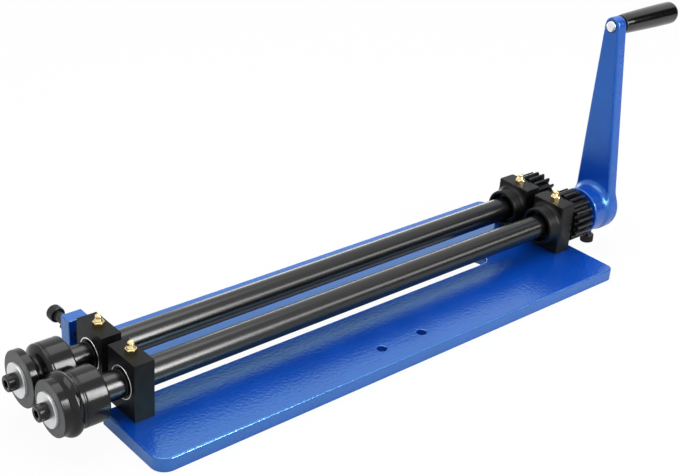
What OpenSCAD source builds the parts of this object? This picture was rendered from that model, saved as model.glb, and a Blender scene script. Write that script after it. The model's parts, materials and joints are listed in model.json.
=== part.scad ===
// Bead roller laid on its side: two geared shafts over a slotted plate, turned by a crank.
// Machine axes: X from the dies to the crank, Y across the plate, Z up from its underside.
// X is counted from the front face of the front blocks, Y from midway between the shafts.

/* [Base plate] */
// Length of the plate along the shafts
plate_length = 506; // [480:1:540]
// Plate edge ahead of the front blocks
plate_front = 11; // [4:1:15]
// Plate edge on the crank side, from the middle plane
plate_near_width = 90; // [84:1:120]
// Plate edge on the adjuster side, from the middle plane
plate_far_width = 84.5; // [80:0.5:120]
// Thickness of the plate
plate_thick = 12; // [11:0.5:16]
// Radius of the plate's front corners
plate_front_r = 12; // [3:0.5:20]
// Radius of the plate's rear corners
plate_rear_r = 7; // [3:0.5:20]
// Width of the throat slot that the sheet passes through
slot_width = 26.6; // [16:0.2:28]
// Solid plate between the slot's closed end and the rear blocks
slot_land = 59.5; // [45:0.5:150]
// Diameter of the two bench holes
bench_hole_d = 8.5; // [6:0.5:12]
// Distance between the bench holes
bench_hole_pitch = 45; // [30:1:120]
// How far the bench holes lie ahead of the plate's middle
bench_hole_ahead = 1.5; // [0:0.5:120]
// Bench holes, from the middle plane
bench_hole_y = 68.6; // [60:0.2:72]

/* [Shafts] */
// Distance between the shaft centres, which is also the gears' pitch diameter
shaft_pitch = 45; // [44.5:0.1:46]
// Shaft centre above the plate
shaft_height = 26.1; // [25.8:0.1:27]
// Diameter of each shaft and of its journals
shaft_d = 22; // [21:0.5:22.5]
// Diameter of the back end that carries the gear
seat_d = 20; // [18:0.5:20]
// Diameter of the front end that carries the die
spigot_d = 16; // [14:0.5:17]
// Bare shaft between the die and the front block
nose_length = 21; // [12:0.5:30]

/* [Front blocks] */
// Length of a front block along the shaft
block_length = 17; // [16:0.5:22]
// Width of a block across the shaft
block_width = 36; // [36:0.5:39]
// Height of a front block
block_height = 49; // [44:0.5:56]
// Wall of the bushes
bush_wall = 2; // [1.5:0.25:2.25]

/* [Rear blocks] */
// Plate edge beyond the rear blocks
plate_tail = 8; // [4:0.5:8]
// Length of a rear block along the shaft
rear_length = 19; // [17:0.5:20]
// Height of a rear block
rear_height = 48.6; // [44:0.5:54]
// Radius of a rear block's upright corners
rear_corner_r = 2.5; // [2:0.5:6]
// Diameter of the round boss where it meets a rear block
boss_d = 38; // [37:0.5:42]
// Diameter of the boss at its front rim
boss_rim_d = 35; // [33:0.5:36.5]
// Length of the boss
boss_length = 13; // [12:0.5:18]
// Diameter of the recess in the boss
recess_d = 29; // [28.5:0.5:30]

/* [Adjuster] */
// How far the adjusting screw opens the dies
adjust_travel = 8; // [4:0.5:8]
// Gap between the sliding block and the bracket
bracket_gap = 12.3; // [10:0.1:14]
// Thickness of the bracket wall
bracket_thick = 12.8; // [10:0.2:15]
// Length of the bracket along the shaft
bracket_length = 18; // [16:0.5:22]
// Height of the bracket above the plate
bracket_height = 39.3; // [36:0.5:46]
// Diameter of the adjusting screw
adjuster_d = 8; // [6:0.5:9]
// Bare length of the adjusting screw beyond the bracket
adjuster_reach = 19.5; // [14:0.5:24]

/* [Dies] */
// Length of a die
die_length = 37.3; // [34:0.1:44]
// Radius of a die's hub and of the bead die's front land
die_land_r = 21.8; // [20.5:0.1:22]
// Radius of the groove die's front flange
flange_r = 22.3; // [21:0.1:22.5]
// Middle of the bead, from the front face of the die
bead_middle = 11.2; // [9:0.1:15]
// Half width of the bead
bead_half = 5; // [4:0.1:6]
// Height of the bead
bead_height = 3.1; // [1.5:0.1:3.3]
// Depth of the groove
groove_depth = 6.2; // [5:0.1:7]
// Side clearance of the bead in the groove
groove_side = 0.6; // [0.6:0.1:1.5]
// Diameter of the die washers
washer_d = 27.5; // [22:0.5:34]
// Thickness of the die washers
washer_t = 2.5; // [1.5:0.1:4]

/* [Gears] */
// Number of teeth on each gear
gear_teeth = 20; // [18:1:22]
// Width of each gear
gear_width = 22; // [16:0.5:26]
// Tooth height outside the pitch circle
tooth_addendum = 1.9; // [1.6:0.05:2.1]
// Tooth depth inside the pitch circle
tooth_dedendum = 2.9; // [2.85:0.05:3.2]
// Free play between the teeth at the pitch circle
tooth_play = 0.85; // [0.7:0.05:1.1]

/* [Crank] */
// Crank radius, from the shaft to the grip's axle
crank_radius = 181; // [150:1:230]
// Lean of the crank away from upright, in degrees
crank_lean = 3.5; // [-20:0.5:20]
// Length of the crank's hub
hub_length = 39.5; // [38:0.5:50]
// Diameter of the hub at the gear
hub_front_d = 45.6; // [42:0.2:47]
// Diameter of the hub at its outer end
hub_end_d = 42; // [40:0.2:45]
// Arm's inner face, from the gear end of the hub
arm_inset = 19.5; // [18:0.5:24]
// Thickness of the arm
arm_thick = 12.5; // [10:0.5:15]
// Width of the arm at the shaft's centre line
arm_root_width = 43; // [36:0.5:43]
// Width of the arm at the grip
arm_end_width = 17; // [13.5:0.5:24]
// Length of the grip
grip_length = 79.5; // [70:0.5:120]
// Diameter of the grip at the arm
grip_inner_d = 18.2; // [15:0.2:19]
// Largest diameter of the grip
grip_outer_d = 21.2; // [20:0.2:28]
// Diameter of the grip's axle
axle_d = 8; // [6:0.5:8.5]

/* [Hidden] */
$fn = 64;

// Clearances
press_gap = 0.02; // pressed and threaded seats
run_gap = 0.05; // turning and sliding fits
over = 1; // overrun of every cut
tilt_gap = 0.25; // extra bore in the bush that the driven shaft tilts in
face_gap = 0.1; // between faces that slide past each other
end_float = 0.4; // between the shafts' rings and the bushes

// Small sizes of the blocks and bushes
edge_cut = 0.6;
shaft_end_cut = 1;
bush_setback = 0.8;
rear_bush_setback = 9;
oil_hole_d = 2.5;

// Metric screws
m5_thread_d = 5;
m5_head_d = 8.5;
m5_head_h = 5;
m5_socket_w = 3;
m6_thread_d = 6;
m6_head_d = 10;
m6_head_h = 6;
m6_socket_w = 5;
m8_thread_d = 8;
m8_head_d = 13;
m8_head_h = 8;
m8_socket_w = 6;
socket_depth_share = 0.55;
head_cut = 0.7;
csk_head_share = 1.9;
fixing_depth = 10;
front_fixing_pitch = 14;
front_fixing_shift = 4.8;
rear_fixing_pitch = 20;
fixing_rim = 0.4;
slide_shift = 5.5;
slide_washer_d = 18;
slide_washer_t = 1.6;
slide_ledge = 4;
tongue_w = 10;
tongue_length = 16;
tongue_h = 3.5;

// Grease nipples
nipple_hex_w = 8;
nipple_hex_h = 3.6;
nipple_thread_d = 6;
nipple_thread_h = 6;
nipple_neck_d = 5;
nipple_head_d = 6.2;
nipple_head_h = 2.6;
nipple_tip_d = 3.4;
nipple_height = 9.8;
nipple_neck_h = 1.4;

// Adjuster
socket_floor = 0.9;
adjuster_core_d = 5;
adjuster_nut_w = 13;
adjuster_nut_h = 5;
bracket_corner_r = 1.6;
bracket_fixing_pitch = 10;
pin_d = 2;
pin_rim = 0.8;
pin_tail = 6;

// Keys and shaft details
key_w = 6;
key_h = 6;
die_key_w = 5;
die_key_h = 5;
key_side_gap = 0.03;
shaft_keyway_share = 0.58;
die_undercut_w = 1.2;
die_undercut = 0.7;
die_edge = 1.2;
groove_lead = 0.9;
die_key_length = 20;
gear_key_length = 18;
thrust_washer_t = 1.3;
thrust_washer_d = 32;
spacer_length = 5.4;
spacer_d = 34;
ring_t = 1.2;
ring_rim = 2.8;
ring_groove = 0.7;
ring_mouth_share = 0.45;
shaft_tail = 1.6;
crank_flat = 1;
pressure_angle = 20;
flank_steps = 4;

// Crank details
hub_end_r = 8;
arm_fillet_r = 7;
grip_side_gap = 1;
grip_edge_r = 1.2;
grip_end_r = 6.4;
grip_belly_share = 0.9;
grip_bore_d = 8.2;
axle_head_d = 12.6;
axle_head_h = 5;
axle_head_sink = 1.5;
axle_dome_d = 10.4;
axle_dome_h = 1.2;
crank_screw_seat = 29.5;

// Shares
die_screw_share = 0.7;
die_back_low_share = 0.4;
die_back_high_share = 0.6;
undercut_gap_share = 1.1;
root_blend_angle = 1;

// Screw sizes as [thread, head width, head height, socket width], and where each stands
m5_screw = [m5_thread_d, m5_head_d, m5_head_h, m5_socket_w];
m6_screw = [m6_thread_d, m6_head_d, m6_head_h, m6_socket_w];
m8_screw = [m8_thread_d, m8_head_d, m8_head_h, m8_socket_w];
thread = 0;
head_w = 1;
head_h = 2;
socket_w = 3;

// Derived places
bush_d = shaft_d + 2 * bush_wall;
rear_x = plate_length - plate_front - plate_tail - rear_length;
slot_end = rear_x - slot_land;
bench_hole_x = plate_length / 2 - plate_front - bench_hole_ahead;
drive_y = -shaft_pitch / 2;
driven_y = shaft_pitch / 2;
axis_z = plate_thick + shaft_height;
bearing_x = block_length / 2;
pivot_x = rear_x + rear_length / 2;
rear_back = rear_x + rear_length;
gear_x = rear_back + thrust_washer_t + face_gap;
gear_back = gear_x + gear_width;
hub_x = gear_back + spacer_length;
arm_x = hub_x + arm_inset;
arm_back = arm_x + arm_thick;
slide_y = shaft_pitch / 2 + slide_shift;
socket_depth = (block_width - bush_d) / 2 - socket_floor;
pin_y = shaft_pitch / 2 + block_width / 2 - pin_rim - pin_d / 2;
front_fixing_y = -shaft_pitch / 2 - front_fixing_shift;
grip_x = arm_back + grip_side_gap;
grip_end = grip_x + grip_length;
die_face = -nose_length - die_length;
screw_front = die_face - washer_t - m8_screw[head_h];
bracket_y = driven_y + block_width / 2 + bracket_gap;
bracket_back = bracket_y + bracket_thick;
adjuster_head = bracket_back + adjuster_reach;
adjuster_end = adjuster_head + m8_screw[head_h];
front_bush_length = block_length - 2 * bush_setback;
rear_bush_x = rear_x - boss_length + rear_bush_setback;
pitch_r = shaft_pitch / 2;
tip_r = pitch_r + tooth_addendum;
root_r = pitch_r - tooth_dedendum;
middle_x = (screw_front + grip_end) / 2;
middle_y = (adjuster_end - plate_near_width) / 2;

// Everything is set down with the middle of its underside on the origin.
module in_frame() {
    translate([-middle_x, -middle_y, 0]) children();
}

// A shape drawn around +Z, laid along +X on a shaft's centre line.
module on_shaft(x, y) {
    translate([x, y, axis_z]) rotate([0, 90, 0]) children();
}

// A flat outline drawn as [Y, Z], pulled along +X from a shaft's centre line.
module along_x(x, y, length) {
    translate([x, y, axis_z]) rotate([90, 0, 90]) linear_extrude(height = length) children();
}

module tube(outer_d, inner_d, length) {
    difference() {
        cylinder(d = outer_d, h = length);
        translate([0, 0, -over]) cylinder(d = inner_d, h = length + 2 * over);
    }
}

module hex_prism(width, height) {
    cylinder(d = width / cos(30), h = height, $fn = 6);
}

// Socket head cap screw: seat of the head at zero, thread downwards.
module cap_screw(size, length) {
    difference() {
        union() {
            cylinder(d = size[head_w], h = size[head_h] - head_cut);
            translate([0, 0, size[head_h] - head_cut])
                cylinder(d1 = size[head_w], d2 = size[head_w] - 2 * head_cut, h = head_cut);
            translate([0, 0, -length]) cylinder(d = size[thread], h = length + head_cut);
        }
        translate([0, 0, size[head_h] * (1 - socket_depth_share)])
            hex_prism(size[socket_w], size[head_h]);
    }
}

// Countersunk screw from below: flat of the head at zero, thread upwards.
module csk_screw(size, length) {
    head_d = size[thread] * csk_head_share;
    cone_h = (head_d - size[thread]) / 2;
    difference() {
        union() {
            cylinder(d = head_d, h = fixing_rim);
            translate([0, 0, fixing_rim]) cylinder(d1 = head_d, d2 = size[thread], h = cone_h);
            cylinder(d = size[thread], h = length);
        }
        translate([0, 0, -over])
            hex_prism(size[socket_w], fixing_rim + cone_h * socket_depth_share + over);
    }
}

// The hole that the countersunk screw fills, with its clearance.
module csk_hole(size, depth, gap) {
    head_d = size[thread] * csk_head_share;
    cone_h = (head_d - size[thread]) / 2;
    translate([0, 0, -over]) cylinder(d = head_d + 2 * gap, h = fixing_rim + over + gap);
    translate([0, 0, fixing_rim + gap])
        cylinder(d1 = head_d + 2 * gap, d2 = size[thread] + 2 * gap, h = cone_h);
    cylinder(d = size[thread] + 2 * gap, h = depth);
}

// Places of the fixed countersunk screws under the drive side blocks.
module drive_fixings() {
    for (side = [-1, 1]) {
        translate([bearing_x, front_fixing_y + side * front_fixing_pitch / 2, 0]) children();
        translate([pivot_x, drive_y + side * rear_fixing_pitch / 2, 0]) children();
    }
}

module bracket_fixings() {
    for (side = [-1, 1])
        translate([bearing_x + side * bracket_fixing_pitch / 2, bracket_y + bracket_thick / 2, 0])
            children();
}

// Slot with round ends along Y, for a guide that moves from its rest place by the full travel.
module travel_slot(width, z, height) {
    for (y = [slide_y, slide_y + adjust_travel])
        translate([bearing_x, y, z]) cylinder(d = width, h = height);
    translate([bearing_x - width / 2, slide_y, z]) cube([width, adjust_travel, height]);
}

// Rectangle with round corners, from its lowest corner.
module round_plate(length, width, height, r) {
    translate([r, 0, 0]) cube([length - 2 * r, width, height]);
    translate([0, r, 0]) cube([length, width - 2 * r, height]);
    for (x = [r, length - r])
        for (y = [r, width - r])
            translate([x, y, 0]) cylinder(r = r, h = height);
}

// Plate with its own corner radius at each end.
module plate_blank() {
    width = plate_near_width + plate_far_width;
    half = plate_length / 2;
    translate([-plate_front, -plate_near_width, 0])
        round_plate(half + plate_front_r, width, plate_thick, plate_front_r);
    translate([-plate_front + half - plate_rear_r, -plate_near_width, 0])
        round_plate(half + plate_rear_r, width, plate_thick, plate_rear_r);
}

module base_plate() {
    color("royalblue") in_frame() difference() {
        plate_blank();
        translate([-plate_front - over, -slot_width / 2, -over])
            cube([plate_front + over + slot_end - slot_width / 2, slot_width, plate_thick + 2 * over]);
        translate([slot_end - slot_width / 2, 0, -over])
            cylinder(d = slot_width, h = plate_thick + 2 * over);
        for (side = [-1, 1])
            translate([bench_hole_x + side * bench_hole_pitch / 2, -bench_hole_y, -over])
                cylinder(d = bench_hole_d, h = plate_thick + 2 * over);
        drive_fixings() csk_hole(m6_screw, plate_thick + over, press_gap);
        bracket_fixings() csk_hole(m5_screw, plate_thick + over, press_gap);
        translate([pivot_x, driven_y, 0]) csk_hole(m8_screw, plate_thick + over, run_gap);
        translate([bearing_x - tongue_w / 2 - run_gap, slide_y - tongue_length / 2 - run_gap, -over])
            cube([tongue_w + 2 * run_gap, tongue_length + adjust_travel + 2 * run_gap,
                plate_thick + 2 * over]);
        travel_slot(slide_washer_d + 2 * run_gap, -over, plate_thick - slide_ledge + over);
    }
}

// Square edged block with the bush bore and the grease hole.
module front_block(y, z) {
    difference() {
        translate([0, y - block_width / 2, z])
            cube([block_length, block_width, block_height + plate_thick - z]);
        on_shaft(-over, y) cylinder(d = bush_d + 2 * press_gap, h = block_length + 2 * over);
        translate([bearing_x, y, axis_z]) nipple_bore(plate_thick + block_height - axis_z);
    }
}

// Hole from the shaft's centre line up to a block's top, for oil and the nipple's thread.
module nipple_bore(height) {
    cylinder(d = oil_hole_d, h = height);
    translate([0, 0, height - nipple_thread_h - over])
        cylinder(d = nipple_thread_d + 2 * press_gap, h = nipple_thread_h + 2 * over);
}

module drive_front_block() {
    color("dimgray") in_frame() difference() {
        front_block(drive_y, plate_thick);
        drive_fixings() translate([0, 0, plate_thick - over])
            cylinder(d = m6_screw[thread] + 2 * press_gap, h = fixing_depth + over);
    }
}

module driven_front_block() {
    color("dimgray") in_frame() difference() {
        union() {
            front_block(driven_y, plate_thick + face_gap);
            translate([bearing_x - tongue_w / 2, slide_y - tongue_length / 2, plate_thick - tongue_h])
                cube([tongue_w, tongue_length, tongue_h + over]);
        }
        translate([bearing_x, slide_y, plate_thick - tongue_h - over])
            cylinder(d = m6_screw[thread] + 2 * press_gap, h = tongue_h + fixing_depth + over);
        translate([bearing_x, driven_y + block_width / 2 - socket_depth, axis_z])
            rotate([-90, 0, 0]) cylinder(d = adjuster_d + 2 * run_gap, h = socket_depth + over);
        translate([pin_x(), pin_y, plate_thick - over])
            cylinder(d = pin_d + 2 * press_gap, h = shaft_height + pin_tail + over);
    }
}

function pin_x() = bearing_x + adjuster_core_d / 2 + run_gap + pin_d / 2;

module drive_rear_block() {
    color("dimgray") in_frame() rear_block(drive_y, plate_thick) {
        drive_fixings() translate([0, 0, plate_thick - over])
            cylinder(d = m6_screw[thread] + 2 * press_gap, h = fixing_depth + over);
    }
}

module driven_rear_block() {
    color("dimgray") in_frame() rear_block(driven_y, plate_thick + face_gap) {
        translate([pivot_x, driven_y, plate_thick - over])
            cylinder(d = m8_screw[thread] + 2 * press_gap, h = fixing_depth + over);
    }
}

// Tapered boss, drawn from its rim to just inside the block.
module boss() {
    cylinder(d1 = boss_rim_d, d2 = boss_d, h = boss_length);
    translate([0, 0, boss_length - over]) cylinder(d = boss_rim_d, h = 2 * over);
}

// Cast block with round upright corners and a round boss towards the dies.
module rear_block(y, z) {
    difference() {
        union() {
            translate([rear_x, y - block_width / 2, z])
                round_plate(rear_length, block_width, rear_height + plate_thick - z, rear_corner_r);
            on_shaft(rear_x - boss_length, y) boss();
        }
        on_shaft(rear_x - boss_length - over, y)
            cylinder(d = recess_d, h = rear_bush_setback + over);
        on_shaft(rear_x - boss_length - over, y)
            cylinder(d = bush_d + 2 * press_gap, h = boss_length + rear_length + 2 * over);
        translate([pivot_x, y, axis_z]) nipple_bore(plate_thick + rear_height - axis_z);
        children();
    }
}

// Plain bush with its oil hole on top.
module bush(x, y, length, bore_d, oil_x) {
    difference() {
        on_shaft(x, y) tube(bush_d, bore_d, length);
        translate([oil_x, y, axis_z]) cylinder(d = oil_hole_d, h = bush_d);
    }
}

module drive_front_bush() {
    color("darkgoldenrod") in_frame()
        bush(bush_setback, drive_y, front_bush_length, shaft_d + 2 * run_gap, bearing_x);
}

module driven_front_bush() {
    color("darkgoldenrod") in_frame()
        bush(bush_setback, driven_y, front_bush_length, shaft_d + 2 * tilt_gap, bearing_x);
}

module drive_rear_bush() {
    color("darkgoldenrod") in_frame()
        bush(rear_bush_x, drive_y, rear_back - rear_bush_x, shaft_d + 2 * run_gap, pivot_x);
}

module driven_rear_bush() {
    color("darkgoldenrod") in_frame()
        bush(rear_bush_x, driven_y, rear_back - rear_bush_x, shaft_d + 2 * run_gap, pivot_x);
}

// Grease nipple with a hexagon foot and a ball head, standing on a block's top.
module nipple(x, y, top) {
    translate([x, y, top]) {
        hex_prism(nipple_hex_w, nipple_hex_h);
        translate([0, 0, -nipple_thread_h]) cylinder(d = nipple_thread_d, h = nipple_thread_h);
        rotate_extrude() polygon([
            [0, nipple_hex_h],
            [nipple_head_d / 2, nipple_hex_h],
            [nipple_neck_d / 2, nipple_hex_h + nipple_neck_h],
            [nipple_head_d / 2, nipple_height - nipple_head_h],
            [nipple_head_d / 2, nipple_height - nipple_head_h / 2],
            [nipple_tip_d / 2, nipple_height],
            [0, nipple_height]
        ]);
    }
}

module drive_front_nipple() {
    color("gold") in_frame() nipple(bearing_x, drive_y, plate_thick + block_height);
}

module driven_front_nipple() {
    color("gold") in_frame() nipple(bearing_x, driven_y, plate_thick + block_height);
}

module drive_rear_nipple() {
    color("gold") in_frame() nipple(pivot_x, drive_y, plate_thick + rear_height);
}

module driven_rear_nipple() {
    color("gold") in_frame() nipple(pivot_x, driven_y, plate_thick + rear_height);
}

module drive_block_screws() {
    color("black") in_frame() drive_fixings()
        csk_screw(m6_screw, plate_thick + fixing_depth - press_gap);
}

module slide_screw() {
    color("black") in_frame() translate([bearing_x, slide_y, slide_washer_z()])
        rotate([180, 0, 0])
            cap_screw(m6_screw, slide_ledge + slide_washer_t + run_gap + fixing_depth - face_gap);
}

module slide_washer() {
    color("silver") in_frame() translate([bearing_x, slide_y, slide_washer_z()])
        tube(slide_washer_d, m6_screw[thread] + 2 * press_gap, slide_washer_t);
}

function slide_washer_z() = plate_thick - slide_ledge - slide_washer_t - run_gap;

module pivot_screw() {
    color("black") in_frame() translate([pivot_x, driven_y, 0])
        csk_screw(m8_screw, plate_thick + fixing_depth - press_gap);
}

module adjuster_bracket() {
    color("royalblue") in_frame() difference() {
        bracket_wall();
        translate([bearing_x, bracket_y - over, axis_z]) rotate([-90, 0, 0])
            cylinder(d = adjuster_d + 2 * run_gap, h = bracket_thick + 2 * over);
        bracket_fixings() translate([0, 0, plate_thick - over])
            cylinder(d = m5_screw[thread] + 2 * press_gap, h = fixing_depth + over);
    }
}

// Upright wall with round top corners.
module bracket_wall() {
    top = bracket_height - bracket_corner_r;
    translate([0, bracket_y, plate_thick]) {
        cube([bracket_length, bracket_thick, top]);
        translate([bracket_corner_r, 0, 0])
            cube([bracket_length - 2 * bracket_corner_r, bracket_thick, bracket_height]);
        for (x = [bracket_corner_r, bracket_length - bracket_corner_r])
            translate([x, 0, top]) rotate([-90, 0, 0])
                cylinder(r = bracket_corner_r, h = bracket_thick);
    }
}

module bracket_screws() {
    color("black") in_frame() bracket_fixings()
        csk_screw(m5_screw, plate_thick + fixing_depth - press_gap);
}

// Adjusting screw, held in the sliding block by a groove near its tip.
module adjusting_screw() {
    tip = driven_y + block_width / 2 - socket_depth + face_gap;
    color("black") in_frame() difference() {
        translate([bearing_x, adjuster_head, axis_z]) rotate([-90, 0, 0])
            cap_screw(adjuster_size(), adjuster_head - tip);
        translate([bearing_x, pin_y - pin_d / 2 - run_gap, axis_z]) rotate([-90, 0, 0])
            tube(adjuster_d + over, adjuster_core_d, pin_d + 2 * run_gap);
    }
}

function adjuster_size() = [adjuster_d, m8_screw[head_w], m8_screw[head_h], m8_screw[socket_w]];

// Cross pin that keeps the adjusting screw in the block and lets it turn.
module adjuster_pin() {
    color("silver") in_frame() translate([pin_x(), pin_y, plate_thick + 2 * face_gap])
        cylinder(d = pin_d, h = shaft_height + pin_tail - 3 * face_gap);
}

module lock_nut() {
    color("black") in_frame() translate([bearing_x, bracket_back, axis_z])
        rotate([-90, 30, 0]) difference() {
            hex_prism(adjuster_nut_w, adjuster_nut_h);
            translate([0, 0, -over])
                cylinder(d = adjuster_d + 2 * run_gap, h = adjuster_nut_h + 2 * over);
        }
}

// Keyway cut: a box on a shaft's top side, its floor at a height above the centre line.
module key_box(x, y, length, width, low, height) {
    translate([x, y - width / 2, axis_z + low]) cube([length, width, height]);
}

// Shaft with a spigot for the die in front and a seat for the gear behind.
module shaft(y, back) {
    shoulder = rear_back + face_gap;
    on_shaft(die_face + end_float, y) cylinder(d = spigot_d, h = -nose_length - die_face);
    on_shaft(-nose_length, y) cylinder(d = shaft_d, h = nose_length + shoulder);
    on_shaft(shoulder - over, y) cylinder(d = seat_d, h = back - shaft_end_cut - shoulder + over);
    on_shaft(back - shaft_end_cut, y)
        cylinder(d1 = seat_d, d2 = seat_d - 2 * shaft_end_cut, h = shaft_end_cut);
}

// Cuts that both shafts share: keyways, the front ring's groove and the tapped front end.
module shaft_cuts(y) {
    key_box(die_key_x(), y, die_key_length, die_key_w, die_key_floor(), spigot_d);
    key_box(gear_key_x(), y, gear_key_length, key_w, gear_key_floor(), seat_d);
    on_shaft(die_face, y) cylinder(d = m8_screw[thread] + 2 * press_gap, h = die_screw_length());
    on_shaft(front_ring_x() - press_gap, y)
        tube(shaft_d + over, shaft_d - 2 * ring_groove, ring_t + 2 * press_gap);
}

function front_ring_x() = rear_bush_x - end_float - ring_t;
function die_key_x() = die_face + (die_length - die_key_length) / 2;
function gear_key_x() = gear_x + (gear_width - gear_key_length) / 2;
function die_key_floor() = spigot_d / 2 - die_key_h * shaft_keyway_share;
function gear_key_floor() = seat_d / 2 - key_h * shaft_keyway_share;
function die_screw_length() = die_length * die_screw_share;
function drive_end() = hub_x + hub_length - over;
function driven_end() = gear_back + ring_t + 2 * shaft_tail;

module drive_shaft() {
    color("dimgray") in_frame() difference() {
        shaft(drive_y, drive_end());
        shaft_cuts(drive_y);
        translate([0, drive_y, axis_z]) rotate([-crank_lean, 0, 0])
            translate([hub_x, -seat_d / 2, -seat_d / 2 - over])
                cube([hub_length + over, seat_d, crank_flat + over]);
    }
}

module driven_shaft() {
    color("dimgray") in_frame() difference() {
        shaft(driven_y, driven_end());
        shaft_cuts(driven_y);
        on_shaft(gear_back, driven_y)
            tube(seat_d + over, seat_d - 2 * ring_groove, ring_t + press_gap);
    }
}

// Outline of the bead die as [radius, distance from its front face].
function bead_radius() = (bead_half * bead_half + bead_height * bead_height) / (2 * bead_height);
function bead_rise(d) = sqrt(pow(bead_radius(), 2) - d * d) - bead_radius() + bead_height;

// Hub end shared by both dies, from the undercut to the back.
function hub_points() = [
    [die_land_r, undercut_at() - die_undercut_w],
    [die_land_r - die_undercut, undercut_at() - die_undercut_w / 2],
    [die_land_r - die_undercut, undercut_at() + die_undercut_w / 2],
    [die_land_r, undercut_at() + die_undercut_w],
    [die_land_r, die_length - die_edge * 2],
    [die_land_r - die_edge * die_back_low_share, die_length - die_edge * die_back_high_share],
    [die_land_r - die_edge, die_length],
    [0, die_length]
];
function undercut_at() = bead_middle + bead_half + groove_side + groove_lead
    + undercut_gap_share * die_undercut_w;

module bead_die() {
    steps = 16;
    color("dimgray") in_frame() difference() {
        on_shaft(die_face, drive_y) rotate_extrude() polygon(concat(
            [[0, 0], [die_land_r - die_edge / 2, 0], [die_land_r, die_edge / 2]],
            [for (i = [0:steps]) let (d = bead_half * (2 * i / steps - 1))
                [die_land_r + bead_rise(d), bead_middle + d]],
            hub_points()));
        die_cuts(drive_y);
    }
}

module groove_die() {
    steps = 16;
    color("dimgray") in_frame() difference() {
        on_shaft(die_face, driven_y) rotate_extrude() polygon(concat(
            [[0, 0], [flange_r - die_edge / 2, 0], [flange_r, die_edge / 2]],
            [for (i = [0:steps]) let (t = 2 * i / steps - 1)
                [groove_low() + (groove_rim(t) - groove_low()) * (1 - cos(180 * t)) / 2,
                    bead_middle + groove_half(t) * t]],
            hub_points()));
        die_cuts(driven_y);
    }
}

function groove_low() = flange_r - groove_depth;
function groove_rim(t) = t < 0 ? flange_r : die_land_r;
function groove_half(t) = bead_half + groove_side + (t < 0 ? 0 : groove_lead);

module die_cuts(y) {
    on_shaft(die_face - over, y)
        cylinder(d = spigot_d + 2 * press_gap, h = die_length + 2 * over);
    key_box(die_face - over, y, die_length + 2 * over, die_key_w + 2 * key_side_gap, 0,
        die_key_floor() + die_key_h + press_gap);
}

module die_key(y) {
    key_box(die_key_x(), y, die_key_length, die_key_w - 2 * key_side_gap, die_key_floor(), die_key_h);
}

module bead_die_key() {
    color("silver") in_frame() die_key(drive_y);
}

module groove_die_key() {
    color("silver") in_frame() die_key(driven_y);
}

module die_washer(y) {
    on_shaft(die_face - washer_t, y) tube(washer_d, m8_screw[thread] + 2 * press_gap, washer_t);
}

module bead_die_washer() {
    color("silver") in_frame() die_washer(drive_y);
}

module groove_die_washer() {
    color("silver") in_frame() die_washer(driven_y);
}

module die_screw(y) {
    translate([die_face - washer_t, y, axis_z]) rotate([0, -90, 0])
        cap_screw(m8_screw, washer_t + die_screw_length() - face_gap);
}

module bead_die_screw() {
    color("black") in_frame() die_screw(drive_y);
}

module groove_die_screw() {
    color("black") in_frame() die_screw(driven_y);
}

// Involute gear: angles are worked out from the base circle and the play.
function base_r() = pitch_r * cos(pressure_angle);
function inv(a) = tan(a) - a * PI / 180;
function half_tooth() = (PI * pitch_r / gear_teeth - tooth_play / 2) / 2 / pitch_r;
function flank_angle(r) = (half_tooth() + inv(pressure_angle) - inv(acos(base_r() / r))) * 180 / PI;
function flank_r(i) = base_r() + (tip_r - base_r()) * i / flank_steps;
function polar(r, a) = [r * cos(a), r * sin(a)];

module gear_outline(first) {
    polygon([for (t = [0:gear_teeth - 1]) let (a = first + t * 360 / gear_teeth) each concat(
        [polar(root_r, a - flank_angle(base_r()) - root_blend_angle)],
        [for (i = [0:flank_steps]) polar(flank_r(i), a - flank_angle(flank_r(i)))],
        [for (i = [0:flank_steps]) polar(flank_r(flank_steps - i),
            a + flank_angle(flank_r(flank_steps - i)))],
        [polar(root_r, a + flank_angle(base_r()) + root_blend_angle)])]);
}

function gear_phase() = 90 / gear_teeth;

module gear(y) {
    difference() {
        along_x(gear_x, y, gear_width) gear_outline(gear_phase());
        on_shaft(gear_x - over, y)
            cylinder(d = seat_d + 2 * press_gap, h = gear_width + 2 * over);
        key_box(gear_x - over, y, gear_width + 2 * over, key_w + 2 * key_side_gap, 0,
            gear_key_floor() + key_h + press_gap);
    }
}

module drive_gear() {
    color("dimgray") in_frame() gear(drive_y);
}

module driven_gear() {
    color("dimgray") in_frame() gear(driven_y);
}

module gear_key(y) {
    key_box(gear_key_x(), y, gear_key_length, key_w - 2 * key_side_gap, gear_key_floor(), key_h);
}

module drive_gear_key() {
    color("silver") in_frame() gear_key(drive_y);
}

module driven_gear_key() {
    color("silver") in_frame() gear_key(driven_y);
}

module thrust_washer(y) {
    on_shaft(rear_back + face_gap, y)
        tube(thrust_washer_d, seat_d + 2 * press_gap, thrust_washer_t);
}

module drive_thrust_washer() {
    color("silver") in_frame() thrust_washer(drive_y);
}

module driven_thrust_washer() {
    color("silver") in_frame() thrust_washer(driven_y);
}

// Retaining ring with a mouth on one side.
module ring(x, y, inner_d) {
    outer_d = inner_d + 2 * ring_rim;
    on_shaft(x, y) difference() {
        tube(outer_d, inner_d + 2 * press_gap, ring_t);
        translate([0, -inner_d * ring_mouth_share / 2, -over])
            cube([outer_d, inner_d * ring_mouth_share, ring_t + 2 * over]);
    }
}

module drive_front_ring() {
    color("silver") in_frame() ring(front_ring_x(), drive_y, shaft_d - 2 * ring_groove);
}

module driven_front_ring() {
    color("silver") in_frame() ring(front_ring_x(), driven_y, shaft_d - 2 * ring_groove);
}

module driven_gear_ring() {
    color("silver") in_frame() ring(gear_back + press_gap / 2, driven_y, seat_d - 2 * ring_groove);
}

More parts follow.
